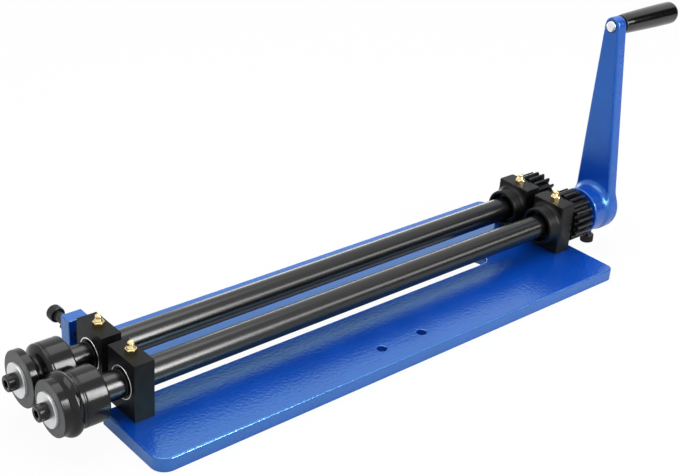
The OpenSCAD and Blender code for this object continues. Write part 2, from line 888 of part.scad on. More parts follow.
module crank_spacer() {
    color("black") in_frame() on_shaft(gear_back, drive_y)
        tube(spacer_d, seat_d + 2 * press_gap, spacer_length);
}

// The crank is drawn upright on the drive shaft's centre line, then leaned over.
module on_crank() {
    translate([0, drive_y, axis_z]) rotate([-crank_lean, 0, 0]) children();
}

module crank() {
    color("royalblue") in_frame() on_crank() difference() {
        union() {
            rotate([0, 90, 0]) rotate_extrude() polygon(concat(
                [[0, hub_x], [hub_front_d / 2 - edge_cut, hub_x], [hub_front_d / 2, hub_x + edge_cut]],
                [for (a = [0:15:90]) [hub_end_d / 2 - hub_end_r * (1 - cos(a)),
                    hub_x + hub_length - hub_end_r * (1 - sin(a))]],
                [[0, hub_x + hub_length]]));
            arm_slab(arm_x, arm_thick);
            arm_fillet();
        }
        translate([hub_x - over, 0, 0]) rotate([0, 90, 0])
            cylinder(d = seat_d + 2 * press_gap, h = hub_length + 2 * over);
        translate([hub_x + hub_length / 2, 0, 0]) rotate([180, 0, 0])
            cylinder(d = m8_screw[thread] + 2 * press_gap, h = hub_front_d);
        translate([arm_x - over, 0, crank_radius]) rotate([0, 90, 0])
            cylinder(d = axle_d + 2 * press_gap, h = arm_thick + 2 * over);
    }
}

// Tapered arm with a round end.
module arm_slab(x, thick) {
    translate([x, 0, 0]) rotate([90, 0, 90]) linear_extrude(height = thick) {
        polygon([
            [-arm_root_width / 2, 0],
            [arm_root_width / 2, 0],
            [arm_end_width / 2, crank_radius],
            [-arm_end_width / 2, crank_radius]
        ]);
        translate([0, crank_radius]) circle(d = arm_end_width);
    }
}

// Hollow blend between the hub and the arm's inner face.
module arm_fillet() {
    low = hub_end_d / 2;
    intersection() {
        rotate([0, 90, 0]) rotate_extrude() polygon(concat(
            [[0, arm_x - arm_fillet_r], [low, arm_x - arm_fillet_r]],
            [for (a = [15:15:90]) [low + arm_fillet_r * (1 - cos(a)),
                arm_x - arm_fillet_r * (1 - sin(a))]],
            [[low + arm_fillet_r, arm_x + over], [0, arm_x + over]]));
        arm_slab(arm_x - arm_fillet_r, arm_fillet_r + over);
    }
}

module crank_screw() {
    color("black") in_frame() on_crank() translate([hub_x + hub_length / 2, 0, -crank_screw_seat])
        rotate([180, 0, 0])
            cap_screw(m8_screw, crank_screw_seat - seat_d / 2 + crank_flat - press_gap);
}

// Shoulder bolt: its domed end shows on the arm, its head is sunk in the grip.
module grip_axle() {
    head_x = grip_end - axle_head_sink - axle_head_h;
    color("silver") in_frame() on_crank() translate([arm_x, 0, crank_radius]) rotate([0, 90, 0])
        difference() {
            union() {
                cylinder(d = axle_d, h = head_x - arm_x + over);
                translate([0, 0, head_x - arm_x]) cylinder(d = axle_head_d, h = axle_head_h);
                translate([0, 0, -axle_dome_h])
                    cylinder(d1 = axle_d, d2 = axle_dome_d, h = axle_dome_h);
            }
            translate([0, 0, head_x - arm_x + axle_head_h * (1 - socket_depth_share)])
                hex_prism(m8_screw[socket_w], axle_head_h);
        }
}

module grip() {
    belly = grip_length * grip_belly_share;
    inner_r = grip_inner_d / 2;
    outer_r = grip_outer_d / 2;
    steps = 12;
    color("black") in_frame() on_crank() translate([grip_x, 0, crank_radius]) rotate([0, 90, 0])
        difference() {
            rotate_extrude() polygon(concat(
                [[0, 0], [inner_r - grip_edge_r, 0]],
                [for (i = [0:steps]) let (s = i / steps)
                    [inner_r + (outer_r - inner_r) * sin(90 * s),
                        grip_edge_r + (belly - grip_edge_r) * s]],
                [for (a = [15:15:90]) [outer_r - grip_end_r * (1 - cos(a)),
                    grip_length - grip_end_r * (1 - sin(a))]],
                [[0, grip_length]]));
            translate([0, 0, -over]) cylinder(d = grip_bore_d, h = grip_length + 2 * over);
            translate([0, 0, grip_length - axle_head_sink - axle_head_h - face_gap])
                cylinder(d = axle_head_d + grip_bore_d - axle_d, h = grip_length);
        }
}

base_plate();
drive_front_block();
drive_rear_block();
driven_front_block();
driven_rear_block();
drive_front_bush();
drive_rear_bush();
driven_front_bush();
driven_rear_bush();
drive_front_nipple();
drive_rear_nipple();
driven_front_nipple();
driven_rear_nipple();
drive_block_screws();
slide_screw();
slide_washer();
pivot_screw();
adjuster_bracket();
bracket_screws();
adjusting_screw();
adjuster_pin();
lock_nut();
drive_shaft();
driven_shaft();
bead_die();
groove_die();
bead_die_key();
groove_die_key();
bead_die_washer();
groove_die_washer();
bead_die_screw();
groove_die_screw();
drive_gear();
driven_gear();
drive_gear_key();
driven_gear_key();
drive_thrust_washer();
driven_thrust_washer();
drive_front_ring();
driven_front_ring();
driven_gear_ring();
crank_spacer();
crank();
crank_screw();
grip_axle();
grip();
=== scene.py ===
# Bench bead roller: two long shafts over a slotted blue plate, dies in front, gears and crank behind.
import json
import math
import bpy
import bmesh
import numpy as np
from mathutils import Matrix, Vector
from mathutils.geometry import tessellate_polygon


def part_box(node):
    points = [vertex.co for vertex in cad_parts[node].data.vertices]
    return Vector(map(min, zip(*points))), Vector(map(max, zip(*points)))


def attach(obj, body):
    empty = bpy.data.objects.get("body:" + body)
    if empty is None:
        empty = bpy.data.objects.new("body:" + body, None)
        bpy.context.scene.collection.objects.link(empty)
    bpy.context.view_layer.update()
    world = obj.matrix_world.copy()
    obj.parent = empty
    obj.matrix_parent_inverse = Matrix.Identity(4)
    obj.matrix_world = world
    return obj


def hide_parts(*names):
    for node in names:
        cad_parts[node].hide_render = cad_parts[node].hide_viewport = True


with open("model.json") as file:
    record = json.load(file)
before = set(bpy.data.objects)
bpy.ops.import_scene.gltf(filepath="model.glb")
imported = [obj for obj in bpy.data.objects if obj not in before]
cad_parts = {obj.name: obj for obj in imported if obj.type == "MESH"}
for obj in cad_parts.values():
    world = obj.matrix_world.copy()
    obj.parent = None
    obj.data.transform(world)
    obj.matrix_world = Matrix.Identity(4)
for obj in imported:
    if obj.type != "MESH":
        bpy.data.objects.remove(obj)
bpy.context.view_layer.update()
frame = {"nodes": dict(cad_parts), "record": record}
nodes = frame["nodes"]
bodies = frame["record"]["behaviour"]["bodies"]
bodyOf = {node: body for body, members in bodies.items() for node in members}

# The machine's own measures, in millimetres from the middle of the front blocks' faces
plate = {"front": -11, "rear": 495, "near": -90, "far": 84.5, "top": 12.0,
         "slotHalf": 13.3, "slotEnd": 408.5, "mouthRadius": 1.2, "frontRadius": 12, "rearRadius": 7,
         "topRoll": 1.5, "underRoll": 0.8, "holeEdge": 0.5}
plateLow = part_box("base_plate")[0] * 1000
machine = {"middleX": plate["front"] - plateLow.x, "middleY": plate["near"] - plateLow.y,
           "axisZ": 38.1, "shaftY": 22.5, "shaftNose": -57.9, "frontX": 8.5, "rearX": 477.5}
frontX, rearX, axisZ = machine["frontX"], machine["rearX"], machine["axisZ"]
sides = {"drive": -machine["shaftY"], "driven": machine["shaftY"]}


def placed(x, y, z):  # machine millimetres to metres in the shared frame
    return Vector((x - machine["middleX"], y - machine["middleY"], z)) / 1000


# Shader maths
class Wire:  # a socket that takes part in sums
    def __init__(self, finish, socket):
        self.finish = finish
        self.socket = socket

    def sum(self, operation, *values):
        return self.finish.node("ShaderNodeMath", {"operation": operation}, list(values))

    def __add__(self, other):
        return self.sum("ADD", self, other)

    def __sub__(self, other):
        return self.sum("SUBTRACT", self, other)

    def __rsub__(self, other):
        return self.sum("SUBTRACT", other, self)

    def __mul__(self, other):
        return self.sum("MULTIPLY", self, other)

    def __pow__(self, other):
        return self.sum("POWER", self, other)

    def __abs__(self):
        return self.sum("ABSOLUTE", self)

    __radd__ = __add__
    __rmul__ = __mul__


class Finish:  # one material, or the world, and the nodes in it
    def __init__(self, name, world=False):
        self.owner = (bpy.data.worlds if world else bpy.data.materials).new(name)
        self.owner.use_nodes = True
        self.tree = self.owner.node_tree
        self.tree.nodes.clear()

    def node(self, kind, settings=None, inputs=None, output=0):
        made = self.tree.nodes.new(kind)
        for key, value in (settings or {}).items():
            if key == "stops":
                ramp = made.color_ramp
                while len(ramp.elements) < len(value):
                    ramp.elements.new(0.5)
                for element, (place, level) in zip(ramp.elements, value):
                    element.position = place
                    element.color = (level, level, level, 1)
            else:
                setattr(made, key, value)
        pairs = inputs.items() if isinstance(inputs, dict) else enumerate(inputs or [])
        for key, value in pairs:
            if isinstance(value, Wire):
                self.tree.links.new(value.socket, made.inputs[key])
            elif value is not None:
                socket = made.inputs[key]
                socket.default_value = (*value, 1) if socket.type == "RGBA" and len(value) == 3 else value
        return Wire(self, made.outputs[output]) if output is not None else made

    def coordinates(self):
        return self.node("ShaderNodeTexCoord", output="Object")

    def axes(self):
        place = self.coordinates()
        return [self.node("ShaderNodeSeparateXYZ", {}, [place], output=k) for k in range(3)]

    def noise(self, scale, detail=2.0, roughness=0.5):
        return self.node("ShaderNodeTexNoise", {}, {"Vector": self.coordinates(), "Scale": scale,
                                                    "Detail": detail, "Roughness": roughness})

    def lines(self, along, scale, detail=2.0):  # turning marks, which follow one number
        return self.node("ShaderNodeTexNoise", {"noise_dimensions": "1D"},
                         {"W": along, "Scale": scale, "Detail": detail})

    def ramp(self, value, stops):
        return self.node("ShaderNodeValToRGB", {"stops": stops}, [value])

    def blend(self, share, first, second):  # colours
        return self.node("ShaderNodeMix", {"data_type": "RGBA"}, {0: share, 6: first, 7: second}, output=2)

    def bump(self, height, distance):
        return self.node("ShaderNodeBump", {}, {"Height": height, "Strength": 1.0, "Distance": distance})

    def surface(self, sockets):
        return self.close(self.node("ShaderNodeBsdfPrincipled", {}, sockets))

    def close(self, shader, kind="ShaderNodeOutputMaterial"):
        self.node(kind, {}, {"Surface": shader}, output=None)
        return self.owner


def shaftRadius(finish):  # distance from the nearer shaft's centre line, in metres
    x, y, z = finish.axes()
    across = abs(y + machine["middleY"] / 1000) - machine["shaftY"] / 1000
    up = z - axisZ / 1000
    return x, (across * across + up * up) ** 0.5


coatLook = {"deep": (0.0012, 0.054, 0.40), "lit": (0.002, 0.064, 0.45), "tint": (0.34, 0.79, 1.0),
            "peel": 330, "peelHeight": 0.00024}


def powderCoat(name, peelShare, roughness, gloss):  # baked powder paint with an orange peel skin
    finish = Finish(name)
    cloud = finish.ramp(finish.noise(22, 3), [(0.35, 0.0), (0.65, 1.0)])
    colour = finish.blend(cloud, coatLook["deep"], coatLook["lit"])
    peel = finish.noise(coatLook["peel"], 1) + finish.noise(coatLook["peel"] * 3, 1) * 0.25
    return finish.surface({"Base Color": colour, "Roughness": finish.noise(60, 2) * 0.08 + (roughness - 0.04),
                           "IOR": gloss, "Specular IOR Level": 1.0, "Specular Tint": coatLook["tint"],
                           "Normal": finish.bump(peel, coatLook["peelHeight"] * peelShare)})


def blackenedSteel(name, shade, roughness, grain, height, specular, wear):
    finish = Finish(name)
    cloud = finish.ramp(finish.noise(90, 4, roughness=0.6), [(0.3, 0.0), (0.75, 1.0)])
    colour = finish.blend(cloud, (shade, shade, shade * 1.03), (shade + wear, shade + wear, shade + wear))
    return finish.surface({"Base Color": colour, "Specular IOR Level": specular,
                           "Roughness": finish.noise(grain / 5, 2) * 0.12 + (roughness - 0.06),
                           "Normal": finish.bump(finish.noise(grain, 2), height)})


def turnedBlack(name, shade, roughness, lineHeight, specular, faceX=None):
    # black oxide over turning marks; end faces nearer than faceX stay rougher and greyer
    finish = Finish(name)
    x, radius = shaftRadius(finish)
    fine = finish.noise(1800, 2)
    cloud = finish.ramp(finish.noise(70, 4, roughness=0.6), [(0.3, 0.0), (0.8, 1.0)])
    colour = finish.blend(cloud, (shade, shade, shade), (shade * 1.8, shade * 1.8, shade * 1.85))
    rough = finish.noise(160, 2) * 0.06 + (roughness - 0.03)
    height = finish.lines(x + radius, 1400, 3) * 0.7 + fine * 0.3
    if faceX is not None:
        face = finish.ramp((faceX - x) * 4000 + 0.5, [(0.0, 0.0), (1.0, 1.0)])
        colour = finish.blend(face, colour, finish.blend(fine, (0.07, 0.07, 0.07), (0.13, 0.13, 0.13)))
        rough = rough + face * 0.28
    return finish.surface({"Base Color": colour, "Roughness": rough, "Specular IOR Level": specular,
                           "Normal": finish.bump(height, lineHeight)})


def bareMetal(name, colour, roughness, grain, height, tint=0.85):
    finish = Finish(name)
    cloud = finish.ramp(finish.noise(150, 3), [(0.3, 0.0), (0.7, 1.0)])
    dull = tuple(channel * tint for channel in colour)
    return finish.surface({"Base Color": finish.blend(cloud, dull, colour), "Metallic": 1.0,
                           "Roughness": finish.noise(grain / 4, 2) * 0.14 + (roughness - 0.07),
                           "Normal": finish.bump(finish.noise(grain, 2), height)})


def gearFinish(name):  # blackened teeth with a little grease, and a painted highlight that lightens the tips
    finish = Finish(name)
    x, radius = shaftRadius(finish)
    # painted highlight: the base colour grows lighter beyond the tip radius
    tipHighlight = finish.ramp((radius - 0.0232) * 900, [(0.0, 0.0), (1.0, 1.0)])
    smear = finish.ramp(finish.noise(180, 3), [(0.4, 0.0), (0.6, 1.0)])
    marks = finish.lines(x, 900) * 0.6 + finish.noise(1500, 2) * 0.4
    return finish.surface({"Base Color": finish.blend(tipHighlight, (0.004, 0.004, 0.004), (0.020, 0.020, 0.020)),
                           "Roughness": smear * -0.10 + 0.36, "Specular IOR Level": 0.28,
                           "Normal": finish.bump(marks, 0.00003)})


shaftNose = placed(machine["shaftNose"], 0, 0)
finishes = {
    "plate_paint": powderCoat("plateBlue", 1.0, 0.2, 1.74),
    "crank_paint": powderCoat("crankBlue", 0.45, 0.26, 1.56),
    "front_block_black": blackenedSteel("frontBlockBlack", 0.006, 0.34, 2600, 0.00003, 0.1, 0.008),
    "cast_block_black": blackenedSteel("castBlockBlack", 0.003, 0.40, 1100, 0.00009, 0.16, 0.006),
    "bush_bronze": bareMetal("bushBronze", (0.13, 0.095, 0.06), 0.45, 1500, 0.00002),
    "nipple_brass": bareMetal("nippleBrass", (0.90, 0.72, 0.38), 0.13, 900, 0.00001, tint=0.8),
    "shaft_black": turnedBlack("shaftBlack", 0.003, 0.24, 0.000012, 0.48),
    "die_black": turnedBlack("dieBlack", 0.004, 0.16, 0.00001, 0.28, faceX=shaftNose.x),
    "gear_black": gearFinish("gearBlack"),
    "washer_steel": bareMetal("washerZinc", (0.80, 0.81, 0.82), 0.42, 2200, 0.00005, tint=0.9),
    "small_steel": bareMetal("groundSteel", (0.42, 0.42, 0.43), 0.34, 1600, 0.00002),
    "screw_black": blackenedSteel("screwBlack", 0.003, 0.26, 1500, 0.00002, 0.42, 0.006),
    "axle_steel": bareMetal("axleBright", (0.86, 0.87, 0.88), 0.22, 1200, 0.00002, tint=0.95),
    "grip_black": blackenedSteel("gripBlack", 0.003, 0.13, 300, 0.00001, 0.5, 0.002),
}
kinds = [("base_plate", "plate_paint"), ("bracket_screw", "screw_black"), ("bracket", "plate_paint"),
         ("crank_screw", "screw_black"), ("spacer", "gear_black"), ("crank", "crank_paint"),
         ("shaft", "shaft_black"), ("_key", "small_steel"), ("_ring", "screw_black"),
         ("die_washer", "washer_steel"), ("screw", "screw_black"), ("gear", "gear_black"),
         ("washer", "small_steel"), ("pin", "small_steel"), ("die", "die_black"),
         ("front_block", "front_block_black"), ("rear_block", "cast_block_black"), ("bush", "bush_bronze"),
         ("nipple", "nipple_brass"), ("nut", "screw_black"), ("axle", "axle_steel"), ("grip", "grip_black")]


def finishFor(node):  # the first kind that the node's name holds
    return next(slot for word, slot in kinds if word in node)


for name, node in nodes.items():
    for place in node.material_slots:
        place.material = finishes[finishFor(name)]
print("finishes ready:", len(finishes))


# Making pieces
def finished(name, mesh, node, slot=None, stands=True):
    # one piece that stands for a CAD node, or one that only rides with it
    piece = bpy.data.objects.new(name, mesh)
    bpy.context.scene.collection.objects.link(piece)
    slot = slot or finishFor(node)
    if not mesh.materials:
        mesh.materials.append(finishes[slot])
    piece.data = evened(piece)
    piece.data.name = name
    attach(piece, bodyOf[node])
    if stands:
        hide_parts(node)
    return piece


def evened(piece):
    # vertex normals follow the larger faces, so that flats stay flat beside their rounded edges
    evening = piece.modifiers.new("normals", "WEIGHTED_NORMAL")
    evening.keep_sharp = True
    result = bpy.data.meshes.new_from_object(piece.evaluated_get(bpy.context.evaluated_depsgraph_get()))
    piece.modifiers.remove(evening)
    return result


def meshFrom(name, points, faces, sharp=32):
    # points in machine millimetres; edges steeper than sharp degrees stay crisp
    mesh = bpy.data.meshes.new(name)
    mesh.from_pydata([placed(*p) for p in points], [], faces)
    crispen(mesh, sharp)
    return mesh


def crispen(mesh, sharp):
    work = bmesh.new()
    work.from_mesh(mesh)
    bmesh.ops.remove_doubles(work, verts=work.verts, dist=1e-7)
    bmesh.ops.dissolve_degenerate(work, dist=1e-7, edges=work.edges)
    bmesh.ops.recalc_face_normals(work, faces=work.faces)
    for edge in work.edges:
        edge.smooth = edge.calc_face_angle(0) < math.radians(sharp)
    for face in work.faces:
        face.smooth = True
    work.to_mesh(mesh)
    work.free()


def eased(corners, closed=False, steps=4):
    # an outline of (along, radius, ease, flats) whose corners are rounded by their ease
    outline = []
    count = len(corners)
    for k, corner in enumerate(corners):
        along, radius, ease, flats = (*corner, 0, 0)[:4]
        ends = not closed and k in (0, count - 1)
        if ease <= 0 or ends:
            outline.append((along, radius, flats))
            continue
        here = Vector((along, radius))
        back = Vector(corners[k - 1][:2]) - here
        ahead = Vector(corners[(k + 1) % count][:2]) - here
        reach = min(ease / math.tan(back.angle(ahead) / 2), back.length * 0.49, ahead.length * 0.49)
        start, stop = here + back.normalized() * reach, here + ahead.normalized() * reach
        for s in range(steps + 1):
            t = s / steps
            p = start * (1 - t) ** 2 + here * 2 * t * (1 - t) + stop * t * t
            outline.append((p.x, p.y, flats))
    return outline


def turnedForm(name, corners, around=96, closed=False):
    # a lathe form along x, in millimetres; a station's flats are the half width of a hexagon, or 0
    stations = eased(corners, closed)
    work = bmesh.new()
    rings = []
    for along, radius, flats in stations:
        if radius <= 0:
            rings.append([work.verts.new((along, 0, 0))])
            continue
        ring = []
        for k in range(around):
            angle = 2 * math.pi * k / around
            reach = radius
            if flats:
                reach = min(radius, flats / math.cos((angle % (math.pi / 3)) - math.pi / 6))
            ring.append(work.verts.new((along, reach * math.cos(angle), reach * math.sin(angle))))
        rings.append(ring)
    pairs = list(zip(rings, rings[1:] + rings[:1])) if closed else list(zip(rings, rings[1:]))
    for first, second in pairs:
        for k in range(around):
            n = (k + 1) % around
            corner = [first[k % len(first)], first[n % len(first)]]
            corner += [second[n % len(second)], second[k % len(second)]]
            corner = list(dict.fromkeys(corner))
            if len(corner) > 2:
                work.faces.new(corner)
    mesh = bpy.data.meshes.new(name)
    work.to_mesh(mesh)
    work.free()
    return mesh


def turnedMesh(name, corners, seat, turn=None, around=96, closed=False, sharp=32):
    mesh = turnedForm(name, corners, around, closed)
    seated(mesh, seat, turn)
    crispen(mesh, sharp)
    return mesh


def seated(mesh, seat, turn=None):  # turns a local form, and takes it to its seat on the machine
    mesh.transform(Matrix.Translation(Vector(seat)) @ (turn or Matrix.Identity(4)))
    for vertex in mesh.vertices:
        vertex.co = placed(*vertex.co)


def ringCorners(start, end, inner, outer, ease=0.3):  # a washer, bush or tube
    return [(start, inner, ease), (start, outer, ease), (end, outer, ease), (end, inner, ease)]


def softened(node, width):
    # the CAD form itself with its hard edges broken by a small bevel
    mesh = nodes[node].data.copy()
    work = bmesh.new()
    work.from_mesh(mesh)
    bmesh.ops.remove_doubles(work, verts=work.verts, dist=2e-6)
    bmesh.ops.dissolve_degenerate(work, dist=1e-6, edges=work.edges)
    bmesh.ops.dissolve_limit(work, angle_limit=math.radians(0.5), verts=work.verts, edges=work.edges)
    work.to_mesh(mesh)
    work.free()
    draft = bpy.data.objects.new("draft", mesh)
    bpy.context.scene.collection.objects.link(draft)
    bevel = draft.modifiers.new("edges", "BEVEL")
    bevel.width = width / 1000
    bevel.segments = 2
    bevel.limit_method = "ANGLE"
    bevel.angle_limit = math.radians(35)
    bevel.use_clamp_overlap = True
    result = bpy.data.meshes.new_from_object(draft.evaluated_get(bpy.context.evaluated_depsgraph_get()))
    bpy.data.objects.remove(draft)
    result.name = node + "Mesh"
    crispen(result, 32)
    result.materials.clear()
    return result


# Cast forms: the skin of a distance field, one vertex for each crossed cell
def roundUnion(first, second, r):
    outside = np.hypot(np.maximum(r - first, 0), np.maximum(r - second, 0))
    return np.maximum(r, np.minimum(first, second)) - outside


def roundMeet(first, second, r):
    inside = np.hypot(np.maximum(r + first, 0), np.maximum(r + second, 0))
    return np.minimum(-r, np.maximum(first, second)) + inside


def castSkin(name, low, high, step, field, turn=None, passes=3):
    low, high = np.array(low, float), np.array(high, float)
    size = np.ceil((high - low) / step).astype(int) + 1
    steps = [low[k] + step * np.arange(size[k]) for k in range(3)]
    grid = np.stack(np.meshgrid(*steps, indexing="ij"), -1).reshape(-1, 3)
    inside = (field(grid) < 0).reshape(size)
    count = np.zeros(size - 1, int)
    for i in (0, 1):
        for j in (0, 1):
            for k in (0, 1):
                count += inside[i:size[0] - 1 + i, j:size[1] - 1 + j, k:size[2] - 1 + k]
    crossed = (count > 0) & (count < 8)
    number = np.full(crossed.shape, -1)
    number[crossed] = np.arange(crossed.sum())
    points = low + (np.argwhere(crossed) + 0.5) * step
    quads = []
    for axis in range(3):
        u, v = (axis + 1) % 3, (axis + 2) % 3
        here = np.take(inside, range(size[axis] - 1), axis)
        there = np.take(inside, range(1, size[axis]), axis)
        edges = np.argwhere(here != there)
        for other in (u, v):
            edges = edges[(edges[:, other] > 0) & (edges[:, other] < size[other] - 1)]
        cells = []
        for du, dv in ((-1, -1), (0, -1), (0, 0), (-1, 0)):
            cell = edges.copy()
            cell[:, u] += du
            cell[:, v] += dv
            cells.append(number[tuple(cell.T)])
        quad = np.stack(cells, 1)
        leaving = here[tuple(edges.T)]
        quad[~leaving] = quad[~leaving][:, ::-1]
        quads.append(quad)
    quads = np.concatenate(quads)
    for _ in range(passes):
        points = settled(points, field, step)
        total, share = np.zeros_like(points), np.zeros(len(points))
        for a, b in ((0, 1), (1, 2), (2, 3), (3, 0)):
            for p, q in ((a, b), (b, a)):
                np.add.at(total, quads[:, p], points[quads[:, q]])
                np.add.at(share, quads[:, p], 1)
        points = points * 0.4 + total / share[:, None] * 0.6
    points = settled(points, field, step)
    if turn is not None:
        points = points @ np.array(turn.to_3x3()).T + np.array(turn.translation)
    return meshFrom(name, points.tolist(), quads.tolist(), 50)


def settled(points, field, step, tiny=0.01):
    # moves points onto the skin, along the slope of the field
    moves = tiny * np.eye(3)
    for _ in range(4):
        value = field(points)
        slope = np.stack([(field(points + move) - field(points - move)) / (2 * tiny) for move in moves], 1)
        steepness = np.maximum((slope ** 2).sum(1), 0.2)
        points = points - slope * np.clip(value / steepness, -step, step)[:, None]
    return points


def roundedBox(x, y, halfX, halfY, radius):  # distance from a rectangle with round corners, seen from above
    qx, qy = np.abs(x) - (halfX - radius), np.abs(y) - (halfY - radius)
    return np.hypot(np.maximum(qx, 0), np.maximum(qy, 0)) + np.minimum(np.maximum(qx, qy), 0) - radius


# Plate: a slotted outline with rolled edges, countersunk from below
benchHoles = {"x": (218, 263), "y": -68.6, "radius": 4.25}
guideSlot = {"y": 32.0, "halfWidth": 5.05, "halfLength": 12.05, "washerRadius": 7.55, "travelHalf": 4.0,
             "ledge": 8.0, "screwY": 28}
pocket = {"block": (5.72, 3.02), "bracket": (4.77, 2.52), "pivot": (7.65, 4.05),  # wide and narrow radius
          "rim": 0.42, "frontY": -27.3, "frontHalf": 7, "rearHalf": 10, "bracketY": 59.2, "bracketHalf": 5}
pockets = [(frontX, pocket["frontY"] + k * pocket["frontHalf"], pocket["block"]) for k in (-1, 1)]
pockets += [(rearX, sides["drive"] + k * pocket["rearHalf"], pocket["block"]) for k in (-1, 1)]
pockets += [(frontX + k * pocket["bracketHalf"], pocket["bracketY"], pocket["bracket"]) for k in (-1, 1)]
pockets += [(rearX, sides["driven"], pocket["pivot"])]


def roundCorner(x, y, radius, start, stop, steps):  # an arc of points between two angles in degrees
    angles = [math.radians(start + (stop - start) * k / steps) for k in range(steps + 1)]
    return [(x + radius * math.cos(angle), y + radius * math.sin(angle)) for angle in angles]


def plateOutline():
    p = plate
    f, r, m, s = p["frontRadius"], p["rearRadius"], p["mouthRadius"], p["slotHalf"]
    loop = roundCorner(p["front"] + f, p["near"] + f, f, 180, 270, 16)
    loop += roundCorner(p["rear"] - r, p["near"] + r, r, 270, 360, 12)
    loop += roundCorner(p["rear"] - r, p["far"] - r, r, 0, 90, 12)
    loop += roundCorner(p["front"] + f, p["far"] - f, f, 90, 180, 16)
    loop += roundCorner(p["front"] + m, s + m, m, 180, 270, 5)
    loop += roundCorner(p["slotEnd"] - s, 0, s, 90, -90, 40)
    loop += roundCorner(p["front"] + m, -s - m, m, 90, 180, 5)
    return loop


def grown(loop, amount):  # a loop moved outwards, corners kept
    result = []
    for k, (x, y) in enumerate(loop):
        a, b = Vector(loop[k - 1]), Vector(loop[(k + 1) % len(loop)])
        first, second = (Vector((x, y)) - a).normalized(), (b - Vector((x, y))).normalized()
        normal = Vector((first.y + second.y, -first.x - second.x))
        normal = normal.normalized() / max(0.3, math.sqrt((1 + first.dot(second)) / 2))
        result.append((x + normal.x * amount, y + normal.y * amount))
    return result


def circle(x, y, radius, steps=40):
    return roundCorner(x, y, radius, 0, 360 - 360 / steps, steps - 1)


def guideLoops(steps=96):
    g = guideSlot
    top, under = [], []
    for k in range(steps):
        c, s = math.cos(2 * math.pi * k / steps), math.sin(2 * math.pi * k / steps)
        square = min(g["halfWidth"] / max(abs(c), 1e-6), g["halfLength"] / max(abs(s), 1e-6))
        flat = g["washerRadius"] / max(abs(c), 1e-6)
        if flat * abs(s) > g["travelHalf"]:
            beyond = g["washerRadius"] ** 2 - (g["travelHalf"] * c) ** 2
            flat = g["travelHalf"] * abs(s) + math.sqrt(max(0, beyond))
        wide = max(square, flat)
        top.append((frontX + c * square, g["y"] + s * square))
        under.append((frontX + c * wide, g["y"] + s * wide))
    return top, under


def plateStacks():  # each hole, and the outside, as loops with their heights, from the underside up
    top, roll, under, small = plate["top"], plate["topRoll"], plate["underRoll"], plate["holeEdge"]
    quarter = [math.radians(a) for a in range(0, 91, 15)]
    outer = plateOutline()
    lowEdge = [(grown(outer, -under * (1 - math.sin(a))), under * (1 - math.cos(a))) for a in quarter]
    highEdge = [(grown(outer, -roll * (1 - math.cos(a))), top - roll * (1 - math.sin(a))) for a in quarter]
    stacks = [lowEdge + highEdge]
    bench = [(small, 0), (small * 0.3, small * 0.3), (0, small), (0, top - 2 * small),
             (small * 0.3, top - small * 0.9), (small, top - small * 0.3), (2 * small, top)]
    for x in benchHoles["x"]:
        stacks.append([(circle(x, benchHoles["y"], benchHoles["radius"] + grow), z) for grow, z in bench])
    for x, y, (wide, narrow) in pockets:
        steps = [(wide, 0), (wide, pocket["rim"]), (narrow, pocket["rim"] + wide - narrow), (narrow, top)]
        stacks.append([(circle(x, y, radius), z) for radius, z in steps])
    upper, lower = guideLoops()
    stacks.append([(lower, 0), (lower, guideSlot["ledge"]), (upper, guideSlot["ledge"]), (upper, top)])
    return stacks


def plateMesh():
    points, faces, firsts, lasts = [], [], [], []
    for stack in plateStacks():
        rings = []
        for loop, z in stack:
            rings.append(list(range(len(points), len(points) + len(loop))))
            points += [(x, y, z) for x, y in loop]
        for a, b in zip(rings, rings[1:]):
            faces += [(a[k - 1], a[k], b[k], b[k - 1]) for k in range(len(a))]
        firsts.append(rings[0])
        lasts.append(rings[-1])
    for group in (firsts, lasts):
        flat = [index for ring in group for index in ring]
        loops = [[Vector((*points[index][:2], 0)) for index in ring] for ring in group]
        faces += [tuple(flat[k] for k in triangle) for triangle in tessellate_polygon(loops)]
    return meshFrom("plate", points, faces)


finished("slottedPlate", plateMesh(), "base_plate")
print("plate ready")

# Blocks, bracket, bushes and grease nipples
frontBlock = {"top": 61, "edge": 0.45, "rimInner": 12.7, "rimOuter": 13.7, "rimDepth": 0.6, "rimStand": 0.3}
rearBlock = {"front": 468, "length": 19, "halfWidth": 18, "top": 60.6, "corner": 2.0, "topEdge": 0.7,
             "bossLength": 13, "bossRim": 17.5, "bossRoot": 19, "bossEdge": 1.3, "blend": 3.2,
             "recess": 14.5, "recessDepth": 9, "bore": 13.02,
             "step": 0.7, "searchX": (452, 490), "searchHalf": 21, "searchUnder": 1.5, "searchTop": 62}
bush = {"front": (0.8, 16.2), "rear": (464, 487), "bore": 11.05, "tiltBore": 11.25, "outer": 13.0,
        "edge": 0.4}  # the driven shaft's front bush is wider, for its small tilt


def rearField(y, under):
    b = rearBlock

    def field(p):
        x, across, z = p[:, 0] - b["front"], p[:, 1] - y, p[:, 2]
        body = roundedBox(x - b["length"] / 2, across, b["length"] / 2, b["halfWidth"], b["corner"])
        body = roundMeet(body, z - b["top"], b["topEdge"])
        radial = np.hypot(across, z - axisZ)
        boss = radial - (b["bossRoot"] + (b["bossRoot"] - b["bossRim"]) * np.clip(x / b["bossLength"], -1, 0))
        boss = np.maximum(roundMeet(boss, -b["bossLength"] - x, b["bossEdge"]), x - 6)
        form = roundUnion(body, boss, b["blend"])
        form = roundMeet(form, under - z, 0.5)
        form = roundMeet(form, -np.maximum(radial - b["recess"], x + b["bossLength"] - b["recessDepth"]), 0.7)
        return roundMeet(form, b["bore"] - radial, 0.4)
    return field


def rearSkin(side, y):
    b = rearBlock
    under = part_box(side + "_rear_block")[0].z * 1000
    low = (b["searchX"][0], y - b["searchHalf"], under - b["searchUnder"])
    high = (b["searchX"][1], y + b["searchHalf"], b["searchTop"])
    return castSkin(side + "RearCasting", low, high, b["step"], rearField(y, under))


